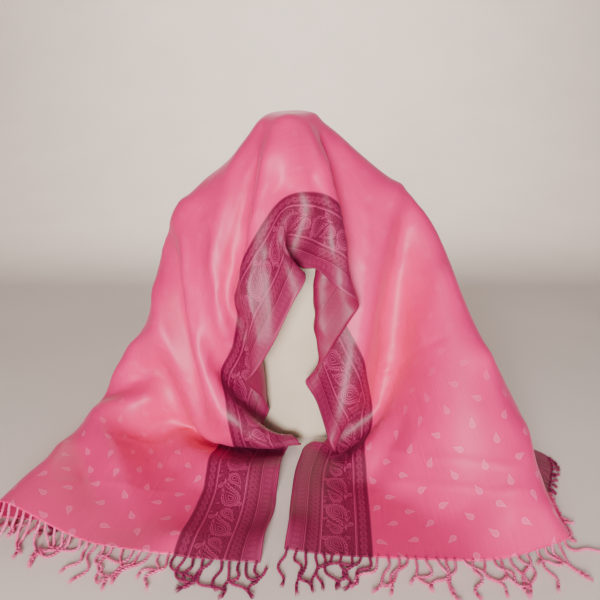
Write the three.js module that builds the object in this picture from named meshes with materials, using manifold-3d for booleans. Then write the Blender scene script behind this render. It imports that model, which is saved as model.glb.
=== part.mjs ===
// Pashmina shawl with woven side borders and knotted fringes, draped over a limbless display form.
// Millimetres, +Z up. The form stands on z = 0, with the origin on the underside of its base. The long
// front edge of the shawl faces -Y and both ends spread on the table towards -Y, as in the photo.
// Material coordinates: `along` runs from the left end to the right end with 0 over the neck of the
// form, `across` runs from the front edge (0) to the rear edge.
import * as THREE from 'three';
import Module from 'manifold-3d';

// Cut of the shawl
const LENGTH = 1800;
const WIDTH = 650;
const BORDER = 125;
const WALL = 1.2;
const SEAM_GAP = 0.3;
const NECK_FROM_MIDDLE = 50; // the shawl hangs this much further to the left than to the right

// part of the name, colour, roughness
const FINISHES = [
  ['display_form', '#ece6d6', 0.15],
  ['fringe_left_field', '#ee7fa0', 0.6], ['fringe_right_field', '#ee7fa0', 0.6],
  ['border', '#a62a5a', 0.45], ['field', '#ea7c9d', 0.4],
];

// Relaxation of the drape
const CELL = 12.5;
const WEAVE_SHRINK = 0.988; // rest length of a cell over its flat size, so that the drape keeps its cut
const CLEARANCE = 4.2;
const FORM_ROOM = 4.4; // the built form stands this much further inside the drape
const FLOOR_GAP = 0.2;
const LAYER_RISE = 3.8; // from one layer of the tuck on the table to the next
const SHARPEST_FOLD = 0.75; // cosine of the largest turn of the sheet at one node
const SHARPEST_AT_SEAM = 0.85;
const GRAVITY = 450;
const TIME_STEP = 0.003;
const DAMPING = 0.93;
const LEVELS = [
  { every: 2, steps: 1100, bend: 0.14, apart: 17, pull: 0.5 },
  { every: 1, steps: 460, bend: 0.25, apart: 9.5, pull: 0.3 },
];

// Display form: rings from the base up, measured in the form's own upright frame
const FORM_SIDES = 28;
const FORM_LEAN = 0.072;
const FORM_LEAN_TOP = 320;
const FORM_AXIS = -12;
const CROWN_START = 545;
const CROWN_RISE = 23;
// height, half width, front depth, back depth, centre x
const FORM_RINGS = [
  [0, 132, 90, 92, 12], [60, 124, 86, 88, 11], [130, 126, 90, 92, 9], [200, 140, 98, 98, 5],
  [260, 154, 104, 100, 0], [310, 166, 102, 98, -5], [350, 178, 94, 92, -9], [390, 191, 82, 80, -13],
  [416, 199, 72, 72, -15], [434, 196, 64, 65, -16], [447, 178, 59, 60, -17], [458, 140, 55, 57, -18],
  [470, 96, 52, 54, -18], [484, 66, 50, 52, -19], [505, 53, 48, 50, -20], [545, 50, 47, 49, -20],
];

// Places read from the photo through its camera: the drape is drawn to them while it relaxes.
// name, along, across, x, y, z, hold
const PLACES = [
  ['neck crest', 0, 275, -19, -10, 573, 1],
  ['neck front', 0, 225, -19, -50, 556, 1],
  ['neck back', 0, 325, -20, 50, 558, 1],
  ['border peak', -24, 125, -17, -94, 449, 1],
  ['centre fold', -43, 62, -5, -112, 398, 1],
  ['front edge, fold over', -62, 0, 7, -128, 347, 1],
  ['front edge, hidden', 0, 0, -36, -112, 350, 0.6],
  ['front edge, under', 66, 0, 12, -122, 345, 1],
  ['right pleat, edge', 171, 0, 90, -142, 289, 1],
  ['right pleat, border line', 122, 125, 58, -120, 417, 1],
  ['right pleat, middle', 95, 188, 46, -84, 490, 1],
  ['right pleat, neck', 72, 250, 36, -26, 548, 0.7],
  ['right pleat, inner edge', 329, 0, 25, -128, 146, 1],
  ['right pleat, inner border line', 222, 125, 22, -112, 322, 0.5],
  ['right pleat, back layer', 330, 125, 66, -118, 238, 0.5],
  ['right edge touches the table', 482, 0, 59, -189, 14, 1],
  ['right border line', 420, 125, 109, -140, 162, 1],
  ['right border line, foot', 545, 125, 130, -110, 20, 0.7],
  ['right edge, behind its tip', 580, 0, 32, -104, 2, 1],
  ['right edge, lying', 700, 0, -10, -222, 1, 1],
  ['right end, front corner', 850, 0, -24, -360, 1, 1],
  ['right end, border line', 850, 125, 104, -384, 1, 1],
  ['right end, middle', 850, 275, 245, -386, 1, 1],
  ['right end, turned corner', 850, 430, 402, -354, 1, 1],
  ['right end, side', 850, 550, 394, -238, 1, 1],
  ['right end, rear corner', 850, 650, 426, -137, 1, 1],
  ['right border line, lying', 680, 125, 106, -200, 1, 1],
  ['right shoulder', 255, 350, 190, 0, 450, 1],
  ['right ridge, high', 405, 370, 248, -75, 338, 1],
  ['right ridge, middle', 560, 395, 308, -185, 218, 1],
  ['right ridge, low', 710, 415, 357, -275, 105, 1],
  ['right rear, high', 300, 550, 190, 90, 265, 0.3],
  ['right rear edge, high', 250, 650, 168, 126, 210, 0.3],
  ['right rear edge, middle', 450, 650, 284, 124, 84, 0.3],
  ['right rear edge, foot', 650, 650, 366, 46, 2, 0.6],
  ['rear edge, middle', 0, 650, -18, 118, 240, 0.5],
  ['back, middle', 0, 500, -18, 102, 380, 0.5],
  ['left shoulder', -258, 350, -224, 0, 424, 1],
  ['left neck side', -70, 275, -78, -4, 540, 0.8],
  ['left edge, lowest in view', -296, 0, -98, -148, 138, 1],
  ['left border line', -235, 125, -133, -138, 252, 0.8],
  ['left fold over the border', -330, 150, -124, -152, 160, 0.6],
  ['left edge, at the table', -445, 0, -62, -76, 8, 1],
  ['left edge, along the table', -510, 0, -34, -100, 9, 1],
  ['left tuck, front edge', -562, 0, -8, -138, 10, 1],
  ['left tuck, front border line', -560, 125, -108, -142, 12, 1],
  ['left tuck, front in the field', -562, 188, -170, -122, 16, 0.7],
  ['left tuck, back edge', -628, 0, -18, -80, 3, 1],
  ['left tuck, back border line', -626, 125, -122, -84, 3, 1],
  ['left tuck, back in the field', -618, 188, -182, -84, 5, 0.7],
  ['left edge, lying', -790, 0, -37, -232, 1, 1],
  ['left end, front corner', -950, 0, -53, -386, 1, 1],
  ['left end, border line', -950, 125, -175, -370, 1, 1],
  ['left end, middle', -950, 245, -295, -364, 8, 1],
  ['left end, turned corner', -950, 437.5, -460, -327, 8, 1],
  ['left end, folded under', -950, 550, -360, -326, 1, 0.6],
  ['left end, rear corner', -950, 650, -262, -318, 1, 0.8],
  ['left rear, lying', -820, 650, -226, -182, 1, 1],
  ['left outline, lying', -840, 437.5, -410, -190, 8, 1],
  ['left outline, foot', -720, 425, -380, -68, 12, 0.6],
  ['left outline, low', -640, 412, -350, -54, 64, 1],
  ['left outline, middle', -560, 400, -322, -42, 140, 1],
  ['left outline, high', -410, 375, -272, -20, 280, 1],
  ['left rear, foot', -690, 650, -200, -48, 1, 0.8],
  ['left rear, high', -410, 550, -220, 95, 200, 0.4],
  ['left rear, middle', -560, 560, -255, 50, 70, 0.4],
  ['left rear edge, high', -250, 650, -170, 126, 205, 0.3],
  ['left rear edge, middle', -450, 650, -240, 88, 45, 0.3],
  ['left border line, lying', -790, 125, -150, -218, 2, 0.8],
];

// Knife pleats: two fold lines each, given as [position along the fold line, position of the fold].
// Layer 1 lies before the first fold, layer 2 between the folds and layer 3 after the second one;
// each layer is kept behind the one before it, in the direction `towards`.
const PLEATS = [
  { name: 'right of the opening', folds: 'along', from: 0, to: 285, reach: 150, towards: [0, 1, 0],
    first: [[0, 171], [125, 122], [188, 95], [250, 72], [290, 62]],
    second: [[0, 329], [125, 222], [188, 150], [250, 100], [290, 68]] },
  { name: 'centre', folds: 'along', from: 0, to: 215, reach: 80, towards: [0, 1, 0],
    first: [[0, -62], [125, -26], [188, -10], [240, 0]],
    second: [[0, 0], [125, 4], [188, 6], [240, 6]] },
  { name: 'left of the opening', folds: 'across', from: -500, to: -262, reach: 110,
    towards: [0.2, 0.8, -0.6],
    first: [[-500, 150], [-345, 150], [-262, 132]],
    second: [[-500, 92], [-345, 92], [-262, 128]] },
  { name: 'right edge under its tip', folds: 'along', from: 0, to: 100, reach: 90, towards: [0, 0, -1],
    first: [[0, 484], [125, 545]], second: [[0, 578], [125, 600]] },
  { name: 'tuck on the table', folds: 'along', from: 0, to: 245, reach: 130, towards: [0, 0, -1],
    first: [[0, -562], [125, -560], [188, -562], [245, -585]],
    second: [[0, -628], [125, -626], [188, -618], [245, -590]] },
];

const smoothstep = (value) => { const x = Math.min(1, Math.max(0, value)); return x * x * (3 - 2 * x); };

function interpolate(points, at) {
  if (at <= points[0][0]) return points[0][1];
  for (let k = 1; k < points.length; k++) {
    if (at > points[k][0]) continue;
    const [x0, y0] = points[k - 1], [x1, y1] = points[k];
    return y0 + (y1 - y0) * (at - x0) / (x1 - x0);
  }
  return points[points.length - 1][1];
}

// Display form

// Half width, front depth, back depth and centre x at a height of the upright frame.
function formRing(height) {
  let k = 0;
  while (k < FORM_RINGS.length - 2 && FORM_RINGS[k + 1][0] < height) k++;
  const before = FORM_RINGS[Math.max(0, k - 1)], a = FORM_RINGS[k], b = FORM_RINGS[k + 1];
  const after = FORM_RINGS[Math.min(FORM_RINGS.length - 1, k + 2)];
  const rise = b[0] - a[0], u = Math.min(1, Math.max(0, (height - a[0]) / rise)), u2 = u * u, u3 = u2 * u;
  return [1, 2, 3, 4].map((column) => {
    const slopeA = (b[column] - before[column]) / (b[0] - before[0]) * rise;
    const slopeB = (after[column] - a[column]) / (after[0] - a[0]) * rise;
    return (2 * u3 - 3 * u2 + 1) * a[column] + (u3 - 2 * u2 + u) * slopeA
      + (3 * u2 - 2 * u3) * b[column] + (u3 - u2) * slopeB;
  });
}

const formTable = Array.from({ length: CROWN_START + 2 }, (_, z) => formRing(Math.min(CROWN_START, z)));
const leanAt = (x, z) => (x - FORM_AXIS) * FORM_LEAN * smoothstep(z / FORM_LEAN_TOP);

// Moves a point of the array that has come too near to the form back to its clearance.
function pushOffForm(points, o, margin) {
  const x = points[o], y = points[o + 1];
  if (x < -240 || x > 225 || y < -135 || y > 120 || points[o + 2] > 600) return false; // far from the form
  const height = points[o + 2] - leanAt(x, points[o + 2]);
  const capped = Math.min(CROWN_START, Math.max(0, height)), i = Math.floor(capped), f = capped - i;
  const low = formTable[i], high = formTable[i + 1], side = y < 0 ? 1 : 2;
  const dx = x - (low[3] + (high[3] - low[3]) * f);
  const a = low[0] + (high[0] - low[0]) * f + margin;
  const b = low[side] + (high[side] - low[side]) * f + margin;
  if (height > CROWN_START) {
    const c = CROWN_RISE + margin, flat = (dx / a) ** 2 + (y / b) ** 2;
    const q = (flat * flat + ((height - CROWN_START) / c) ** 4) ** 0.25;
    if (q >= 1 || q < 1e-3) return false;
    const grow = (1 / q - 1) * 0.7;
    points[o] += dx * grow * 0.4;
    points[o + 1] += y * grow * 0.4;
    points[o + 2] += (height - CROWN_START) * grow + 0.2;
    return true;
  }
  const q = Math.sqrt((dx / a) ** 2 + (y / b) ** 2);
  if (q >= 1 || q < 1e-3) return false;
  const da = high[0] - low[0], db = high[side] - low[side];
  const gx = dx / (a * a * q), gy = y / (b * b * q);
  const gz = -((dx * dx * da) / (a * a * a) + (y * y * db) / (b * b * b)) / q;
  const g2 = gx * gx + gy * gy + gz * gz, move = (1 - q) / g2;
  const limited = move * Math.min(1, 10 / (move * Math.sqrt(g2)));
  points[o] += gx * limited;
  points[o + 1] += gy * limited;
  points[o + 2] += gz * limited;
  return true;
}

function buildForm() {
  const rows = [];
  const ringPoints = (height, scale, a, front, back, cx) => Array.from({ length: FORM_SIDES }, (_, k) => {
    const angle = 2 * Math.PI * k / FORM_SIDES, x = cx + (a - FORM_ROOM) * scale * Math.cos(angle);
    const y = ((Math.sin(angle) < 0 ? front : back) - FORM_ROOM) * scale * Math.sin(angle);
    return [x, y, height === 0 ? 0 : height + leanAt(x, height)];
  });
  for (const [height] of FORM_RINGS) rows.push(ringPoints(height, 1, ...formRing(height)));
  for (const step of [0.42, 0.72, 0.92]) {
    const scale = (1 - step ** 4) ** 0.25;
    rows.push(ringPoints(CROWN_START + (CROWN_RISE - FORM_ROOM) * step, scale, ...formRing(CROWN_START)));
  }
  const positions = rows.flat(2), faces = [], count = rows.length;
  const at = (r, k) => r * FORM_SIDES + (k % FORM_SIDES);
  for (let r = 0; r + 1 < count; r++) for (let k = 0; k < FORM_SIDES; k++) {
    faces.push(at(r, k), at(r, k + 1), at(r + 1, k + 1), at(r, k), at(r + 1, k + 1), at(r + 1, k));
  }
  const foot = positions.length / 3, cx = formRing(0)[3];
  positions.push(cx, 0, 0, formRing(CROWN_START)[3], 0, CROWN_START + CROWN_RISE - FORM_ROOM);
  for (let k = 0; k < FORM_SIDES; k++) {
    faces.push(foot, at(0, k + 1), at(0, k), foot + 1, at(count - 1, k), at(count - 1, k + 1));
  }
  return meshOf('display_form', positions, faces);
}

// Drape

// Relaxes the sheet on a grid with `every` cells of the finest net per cell.
function relax({ every, steps, bend, apart, pull }, coarse) {
  const rows = LENGTH / CELL / every + 1, columns = WIDTH / CELL / every + 1, count = rows * columns;
  const cell = CELL * every, id = (i, j) => i * columns + j;
  const alongOf = (i) => i * cell - LENGTH / 2 - NECK_FROM_MIDDLE, acrossOf = (j) => j * cell;
  const rowOf = (along) => Math.round((along + NECK_FROM_MIDDLE + LENGTH / 2) / cell);
  const places = PLACES.map(([, along, across, x, y, z, hold]) => ({
    at: 3 * id(rowOf(along), Math.round(across / cell)), to: [x, y, z], hold,
  }));
  const p = coarse ? refined(coarse, rows, columns) : firstGuess(rows, columns, alongOf, acrossOf, places);

  // Threads, shear and stiffness: families of links that share no node
  const links = [];
  const family = (di, dj, pick, strength, pushOnly) => {
    const a = [], b = [];
    const from = Math.max(0, -dj), to = Math.min(columns, columns - dj);
    for (let i = 0; i < rows - di; i++) for (let j = from; j < to; j++) {
      if (!pick(i, j)) continue;
      a.push(3 * id(i, j));
      b.push(3 * id(i + di, j + dj));
    }
    links.push({ a, b, rest: Math.hypot(di, dj) * cell * WEAVE_SHRINK, strength, pushOnly });
  };
  for (const c of [0, 1]) {
    family(1, 0, (i) => i % 2 === c, 1);
    family(0, 1, (i, j) => j % 2 === c, 1);
    family(1, 1, (i) => i % 2 === c, 0.3);
    family(1, -1, (i) => i % 2 === c, 0.3);
    family(2, 0, (i) => (i % 4 < 2) === (c === 0), bend, true);
    family(0, 2, (i, j) => (j % 4 < 2) === (c === 0), bend, true);
    family(4, 0, (i) => (i % 8 < 4) === (c === 0), bend * 0.3, true);
    family(0, 4, (i, j) => (j % 8 < 4) === (c === 0), bend * 0.3, true);
  }

  // Heights over the table where layers lie on each other: the left end over its folded-under rear
  // part, and the three layers of the tuck
  const low = new Float64Array(count), high = new Float64Array(count).fill(1e9);
  const stacked = new Uint8Array(count);
  for (let i = 0; i < rows; i++) for (let j = 0; j < columns; j++) {
    const n = id(i, j), along = alongOf(i), across = acrossOf(j);
    low[n] = WALL / 2 + FLOOR_GAP;
    if (across < 445) low[n] += 9 * smoothstep((-along - 590) / 60) * smoothstep((across - 150) / 110);
    if (along < -640) {
      stacked[n] = 1;
      if (across > 468) high[n] = 1.4 + 400 * (1 - smoothstep((-along - 660) / 80));
    }
    if (along > 700 && across > 470) {
      high[n] = 2 + 400 * (1 - smoothstep((along - 700) / 100)) + 60 * (1 - smoothstep((across - 470) / 60));
    }
    const tuck = smoothstep((240 - across) / 60);
    if (tuck > 0 && along > -575 && along < -430) {
      low[n] += 2 * LAYER_RISE * tuck * smoothstep((along + 600) / 20) * smoothstep((-430 - along) / 40);
      stacked[n] = 1;
    } else if (tuck > 0 && along <= -575 && along > -640) {
      low[n] += LAYER_RISE * tuck;
      high[n] = 1.7 * LAYER_RISE + 60 * (1 - tuck);
      stacked[n] = 1;
    }
  }
  const pleats = PLEATS.map((pleat) => pleatLayers(pleat, rows, columns, cell, alongOf, acrossOf));
  const v = new Float64Array(3 * count), q = new Float64Array(3 * count);
  for (let step = 0; step < steps; step++) {
    q.set(p);
    for (let k = 0; k < 3 * count; k++) {
      if (k % 3 === 2) v[k] -= GRAVITY * TIME_STEP;
      v[k] *= DAMPING;
      p[k] += Math.max(-cell / 5, Math.min(cell / 5, v[k] * TIME_STEP));
    }
    for (const { at, to, hold } of places) {
      for (let c = 0; c < 3; c++) p[at + c] += (to[c] - p[at + c]) * pull * hold;
    }
    for (const link of links) pullLinks(p, link);
    if (step % 2 === 0) keepApart(p, count, columns, apart, stacked);
    for (const pleat of pleats) orderLayers(p, pleat, cell, apart);
    for (let n = 0; n < count; n++) {
      const o = 3 * n;
      let grip = pushOffForm(p, o, CLEARANCE) ? 0.35 : 0;
      if (p[o + 2] < low[n]) grip = 0.4;
      p[o + 2] = Math.min(high[n], Math.max(low[n], p[o + 2]));
      if (grip) for (let c = 0; c < 3; c++) p[o + c] -= (p[o + c] - q[o + c]) * grip * (c < 2 ? 1 : 0.3);
    }
    for (let k = 0; k < 3 * count; k++) v[k] = (p[k] - q[k]) / TIME_STEP;
  }
  return { rows, columns, p };
}

function firstGuess(rows, columns, alongOf, acrossOf, places) {
  const p = new Float64Array(3 * rows * columns), id = (i, j) => i * columns + j;
  for (let i = 0; i < rows; i++) for (let j = 0; j < columns; j++) {
    const at = [0, 0, 0];
    let sum = 0;
    for (const [, along, across, ...to] of PLACES) {
      const distance = (alongOf(i) - along) ** 2 + 1.3 * (acrossOf(j) - across) ** 2 + 300;
      const weight = 1 / distance ** 2;
      sum += weight;
      for (let c = 0; c < 3; c++) at[c] += weight * to[c];
    }
    p.set(at.map((x) => x / sum), 3 * id(i, j));
  }
  const fixed = new Map(places.map((place) => [place.at, place.to]));
  for (let pass = 0; pass < 40; pass++) for (let i = 0; i < rows; i++) for (let j = 0; j < columns; j++) {
    const o = 3 * id(i, j);
    if (fixed.has(o)) p.set(fixed.get(o), o);
    else for (let c = 0; c < 3; c++) {
      const at = (a, b) => p[3 * id(a, b) + c];
      const lengthwise = i === 0 ? 2 * at(1, j) - at(2, j) : i === rows - 1 ? 2 * at(i - 1, j) - at(i - 2, j)
        : (at(i - 1, j) + at(i + 1, j)) / 2;
      const crosswise = j === 0 ? 2 * at(i, 1) - at(i, 2)
        : j === columns - 1 ? 2 * at(i, j - 1) - at(i, j - 2) : (at(i, j - 1) + at(i, j + 1)) / 2;
      p[o + c] = (lengthwise + crosswise) / 2;
    }
  }
  return p;
}

function refined({ rows: oldRows, columns: oldColumns, p: old }, rows, columns) {
  const p = new Float64Array(3 * rows * columns), ratio = (oldRows - 1) / (rows - 1);
  const at = (i, j, c) => old[3 * (Math.min(oldRows - 1, i) * oldColumns + Math.min(oldColumns - 1, j)) + c];
  for (let i = 0; i < rows; i++) for (let j = 0; j < columns; j++) for (let c = 0; c < 3; c++) {
    const i0 = Math.floor(i * ratio), j0 = Math.floor(j * ratio), u = i * ratio - i0, w = j * ratio - j0;
    p[3 * (i * columns + j) + c] = (1 - u) * ((1 - w) * at(i0, j0, c) + w * at(i0, j0 + 1, c))
      + u * ((1 - w) * at(i0 + 1, j0, c) + w * at(i0 + 1, j0 + 1, c));
  }
  return p;
}

function pullLinks(p, { a, b, rest, strength, pushOnly }) {
  for (let n = 0; n < a.length; n++) {
    const i = a[n], j = b[n], dx = p[j] - p[i], dy = p[j + 1] - p[i + 1], dz = p[j + 2] - p[i + 2];
    const d = Math.sqrt(dx * dx + dy * dy + dz * dz);
    if (d < 1e-9 || (pushOnly && d > rest)) continue;
    const e = (d - rest) * strength * 0.5 / d;
    p[i] += dx * e;
    p[i + 1] += dy * e;
    p[i + 2] += dz * e;
    p[j] -= dx * e;
    p[j + 1] -= dy * e;
    p[j + 2] -= dz * e;
  }
}

// Pushes nodes of the sheet that are not neighbours apart where they come nearer than `apart`.
function keepApart(p, count, columns, apart, stacked) {
  const cells = new Map(), key = (x, y, z) => ((x + 128) * 256 + y + 128) * 256 + z + 128;
  const where = (n, c) => Math.floor(p[3 * n + c] / apart);
  for (let n = 0; n < count; n++) {
    const k = key(where(n, 0), where(n, 1), where(n, 2)), list = cells.get(k);
    if (list) list.push(n); else cells.set(k, [n]);
  }
  for (let n = 0; n < count; n++) {
    const x = where(n, 0), y = where(n, 1), z = where(n, 2);
    const row = Math.floor(n / columns), column = n % columns;
    for (let ax = -1; ax < 2; ax++) for (let ay = -1; ay < 2; ay++) for (let az = -1; az < 2; az++) {
      const list = cells.get(key(x + ax, y + ay, z + az));
      if (!list) continue;
      for (const m of list) {
        if (m <= n) continue;
        if (Math.abs(row - Math.floor(m / columns)) <= 2 && Math.abs(column - m % columns) <= 2) continue;
        if (stacked[n] && stacked[m] && p[3 * n + 2] < 14 && p[3 * m + 2] < 14) continue;
        const dx = p[3 * m] - p[3 * n], dy = p[3 * m + 1] - p[3 * n + 1], dz = p[3 * m + 2] - p[3 * n + 2];
        const d = Math.sqrt(dx * dx + dy * dy + dz * dz);
        if (d >= apart || d < 1e-9) continue;
        const e = (apart - d) * 0.25 / d;
        [dx, dy, dz].forEach((move, c) => {
          p[3 * n + c] -= move * e;
          p[3 * m + c] += move * e;
        });
      }
    }
  }
}

function pleatLayers(pleat, rows, columns, cell, alongOf, acrossOf) {
  const members = [];
  for (let i = 0; i < rows; i++) for (let j = 0; j < columns; j++) {
    const over = pleat.folds === 'along' ? alongOf(i) : acrossOf(j);
    const beside = pleat.folds === 'along' ? acrossOf(j) : alongOf(i);
    if (beside < pleat.from || beside > pleat.to) continue;
    const first = interpolate(pleat.first, beside), second = interpolate(pleat.second, beside);
    const [nearest, farthest] = [Math.min(first, second), Math.max(first, second)];
    if (over < nearest - pleat.reach || over > farthest + pleat.reach) continue;
    const sign = second > first ? 1 : -1;
    const layer = sign * (over - first) < 0 ? 1 : sign * (over - second) < 0 ? 2 : 3;
    members.push({ o: 3 * (i * columns + j), layer, over, beside });
  }
  const towards = new THREE.Vector3(...pleat.towards).normalize();
  const u = new THREE.Vector3(1, 0, 0).addScaledVector(towards, -towards.x).normalize();
  const w = new THREE.Vector3().crossVectors(towards, u);
  return { members, towards: towards.toArray(), u: u.toArray(), w: w.toArray() };
}

function orderLayers(p, { members, towards, u, w }, cell, apart) {
  const size = cell * 1.05, cells = new Map();
  const flat = members.map(({ o }) => [u, w].map((e) => p[o] * e[0] + p[o + 1] * e[1] + p[o + 2] * e[2]));
  const keyOf = ([a, b], da, db) =>
    (Math.floor(a / size) + da + 500) * 1000 + Math.floor(b / size) + db + 500;
  flat.forEach((at, k) => {
    const place = keyOf(at, 0, 0), list = cells.get(place);
    if (list) list.push(k); else cells.set(place, [k]);
  });
  members.forEach((m, k) => {
    if (m.layer === 3) return;
    const near = [-1, 0, 1].flatMap(
      (da) => [-1, 0, 1].flatMap((db) => cells.get(keyOf(flat[k], da, db)) ?? []));
    for (const other of near) {
      const r = members[other];
      if (r.layer <= m.layer) continue;
      if ((flat[other][0] - flat[k][0]) ** 2 + (flat[other][1] - flat[k][1]) ** 2 > size * size) continue;
      const away = Math.hypot(r.over - m.over, r.beside - m.beside);
      const want = Math.min(apart * (r.layer - m.layer) * 0.9, 0.4 * (away - 1.5 * cell));
      const have = towards.reduce((sum, t, c) => sum + t * (p[r.o + c] - p[m.o + c]), 0);
      if (want <= 0 || have >= want || have < -70) continue;
      const e = Math.min(2.4, (want - have) * 0.5);
      towards.forEach((t, c) => {
        p[m.o + c] -= t * e * 0.7;
        p[r.o + c] += t * e * 0.3;
      });
    }
  });
}

// Takes the grid's own ripple out of the relaxed net without shrinking its folds.
function ironed({ rows, columns, p: from }) {
  let p = from;
  for (const weight of [0.5, -0.52, 0.5, -0.52, 0.4]) {
    const next = Float64Array.from(p), at = (i, j, c) => p[3 * (i * columns + j) + c];
    for (let i = 0; i < rows; i++) for (let j = 0; j < columns; j++) for (let c = 0; c < 3; c++) {
      const o = 3 * (i * columns + j) + c, inI = i > 0 && i < rows - 1, inJ = j > 0 && j < columns - 1;
      if (!inI && !inJ) continue;
      const lengthwise = inI ? (at(i - 1, j, c) + at(i + 1, j, c)) / 2 : p[o];
      const crosswise = inJ ? (at(i, j - 1, c) + at(i, j + 1, c)) / 2 : p[o];
      next[o] = p[o] + weight * ((lengthwise + crosswise) / 2 - p[o]);
    }
    p = next;
  }
  softenFolds(p, rows, columns);
  for (const [along, across, radius] of OPENED) {
    const iC = (along + NECK_FROM_MIDDLE + LENGTH / 2) / CELL, jC = across / CELL;
    for (let pass = 0; pass < 10; pass++) for (let k = columns; k < (rows - 1) * columns; k++) {
      const i = Math.floor(k / columns), j = k % columns, o = 3 * k;
      const weight = 0.6 * smoothstep(1 - Math.hypot(i - iC, j - jC) * CELL / radius);
      if (weight <= 0) continue;
      const inside = j > 0 && j < columns - 1;
      for (let c = 0; c < 3; c++) {
        const lengthwise = (p[o - 3 * columns + c] + p[o + 3 * columns + c]) / 2;
        const both = inside ? (lengthwise + (p[o - 3 + c] + p[o + 3 + c]) / 2) / 2 : lengthwise;
        p[o + c] += weight * (both - p[o + c]);
      }
    }
  }
  for (let o = 0; o < p.length; o += 3) {
    for (let pass = 0; pass < 4; pass++) pushOffForm(p, o, CLEARANCE);
    p[o + 2] = Math.max(p[o + 2], WALL / 2 + FLOOR_GAP);
  }
  return { rows, columns, p };
}

// name, first and last row of the fine net
const STRETCHES = [
  ['left_end', 0, 16], ['left_fall', 16, 64], ['crown', 64, 80],
  ['right_fall', 80, 128], ['right_end', 128, 144],
];
// name, first and last column of the fine net
const STRIPS = [
  ['front_border', 0, BORDER / CELL], ['field', BORDER / CELL, (WIDTH - BORDER) / CELL],
  ['rear_border', (WIDTH - BORDER) / CELL, WIDTH / CELL],
];
const SEAM_ROWS = STRETCHES.slice(1).map(([, first]) => first);
const SEAM_COLUMNS = STRIPS.slice(1).map(([, first]) => first);

// Crumples that are pressed out after the drape has settled: along, across, radius
const OPENED = [[-615, 12, 80], [-470, 625, 80]];

// Opens folds that are sharper than the wall can follow, one node at a time.
function softenFolds(p, rows, columns) {
  for (let pass = 0; pass < 16; pass++) for (let i = 0; i < rows; i++) for (let j = 0; j < columns; j++) {
    for (const [di, dj] of [[1, 0], [0, 1], [1, 1], [1, -1]]) {
      const lowest = Math.min(j - dj, j + dj), highest = Math.max(j - dj, j + dj);
      if (i < di || i + di >= rows || lowest < 0 || highest >= columns) continue;
      const o = 3 * (i * columns + j), a = o - 3 * (di * columns + dj), b = o + 3 * (di * columns + dj);
      let dot = 0, before = 0, after = 0;
      for (let c = 0; c < 3; c++) {
        const u = p[o + c] - p[a + c], w = p[b + c] - p[o + c];
        dot += u * w; before += u * u; after += w * w;
      }
      const seam = (di === 1 && SEAM_ROWS.includes(i)) || (dj !== 0 && SEAM_COLUMNS.includes(j));
      if (dot > (seam ? SHARPEST_AT_SEAM : SHARPEST_FOLD) * Math.sqrt(before * after)) continue;
      for (let c = 0; c < 3; c++) p[o + c] += 0.3 * ((p[a + c] + p[b + c]) / 2 - p[o + c]);
    }
  }
}

let net = null;
for (const level of LEVELS) net = relax(level, net);
net = ironed(net);

// Walls and fringes

// Nodes of the fine net that the wall is built on: every cell over the folds, every other one elsewhere
const ROWS = [
  0, 3, 6, 9, 12, 16, 19, 22, ...steps(24, 34, 1), ...steps(36, 48, 2), ...steps(49, 60, 1),
  ...steps(62, 78, 2),
  ...steps(79, 104, 1), 106, 108, ...steps(110, 124, 1), 126, 128, 131, 134, 137, 140, 144,
];
const COLUMNS = [
  ...steps(0, 6, 2), ...steps(7, 14, 1), 16, 18, 20, 23, 26, 29, 32, ...steps(34, 38, 1), 40, 42, 45, 48, 52,
];
// Fringe strands: three-sided, 14 mm apart
const STRAND_SPACING = 14;
const STRAND_RADIUS = 1.7;
const STRAND_PARTS = 3;
const STRAND_SWAY = 3.4;
const BACKING_WIDTH = 3;
// end, first and last position across, strand length, turn of the strands towards [x, y], how much
const FRINGE_LENGTHS = [
  ['left', 0, 437, 74, [0, -1], 0.1], ['left', 476, 650, 42, [0, -1], 0.5],
  ['right', 0, 410, 74, [0, -1], 0.1], ['right', 455, 650, 16, [0.9, -0.4], 0.2],
];

function steps(from, to, by) {
  return Array.from({ length: Math.floor((to - from) / by) + 1 }, (_, k) => from + k * by);
}

const pointAt = (row, column) => new THREE.Vector3().fromArray(net.p, 3 * (row * net.columns + column));

// Middle surface of the wall: a point and a normal for each sampled node of the net.
const sampled = ROWS.map((row) => COLUMNS.map((column) => (
  { point: pointAt(row, column), normal: new THREE.Vector3() }
)));
for (let i = 0; i + 1 < ROWS.length; i++) for (let j = 0; j + 1 < COLUMNS.length; j++) {
  for (const corners of splitCell(i, j)) {
    const [a, b, c] = corners.map(([r, q]) => sampled[r][q]);
    const [first, second] = [b, c].map((corner) => corner.point.clone().sub(a.point));
    const facing = new THREE.Vector3().crossVectors(first, second);
    facing.normalize();
    for (const node of [a, b, c]) {
      const others = [a, b, c].filter((other) => other !== node);
      const [u, w] = others.map((other) => other.point.clone().sub(node.point).normalize());
      node.normal.addScaledVector(facing, u.angleTo(w));
    }
  }
}
for (const row of sampled) for (const { normal } of row) normal.normalize();

// The two triangles of a cell, split along its shorter diagonal.
function splitCell(i, j) {
  const a = [i, j], b = [i + 1, j], c = [i + 1, j + 1], d = [i, j + 1];
  const far = ([r1, q1], [r2, q2]) => sampled[r1][q1].point.distanceTo(sampled[r2][q2].point);
  return far(a, c) <= far(b, d) ? [[a, b, c], [a, c, d]] : [[a, b, d], [b, c, d]];
}

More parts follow.
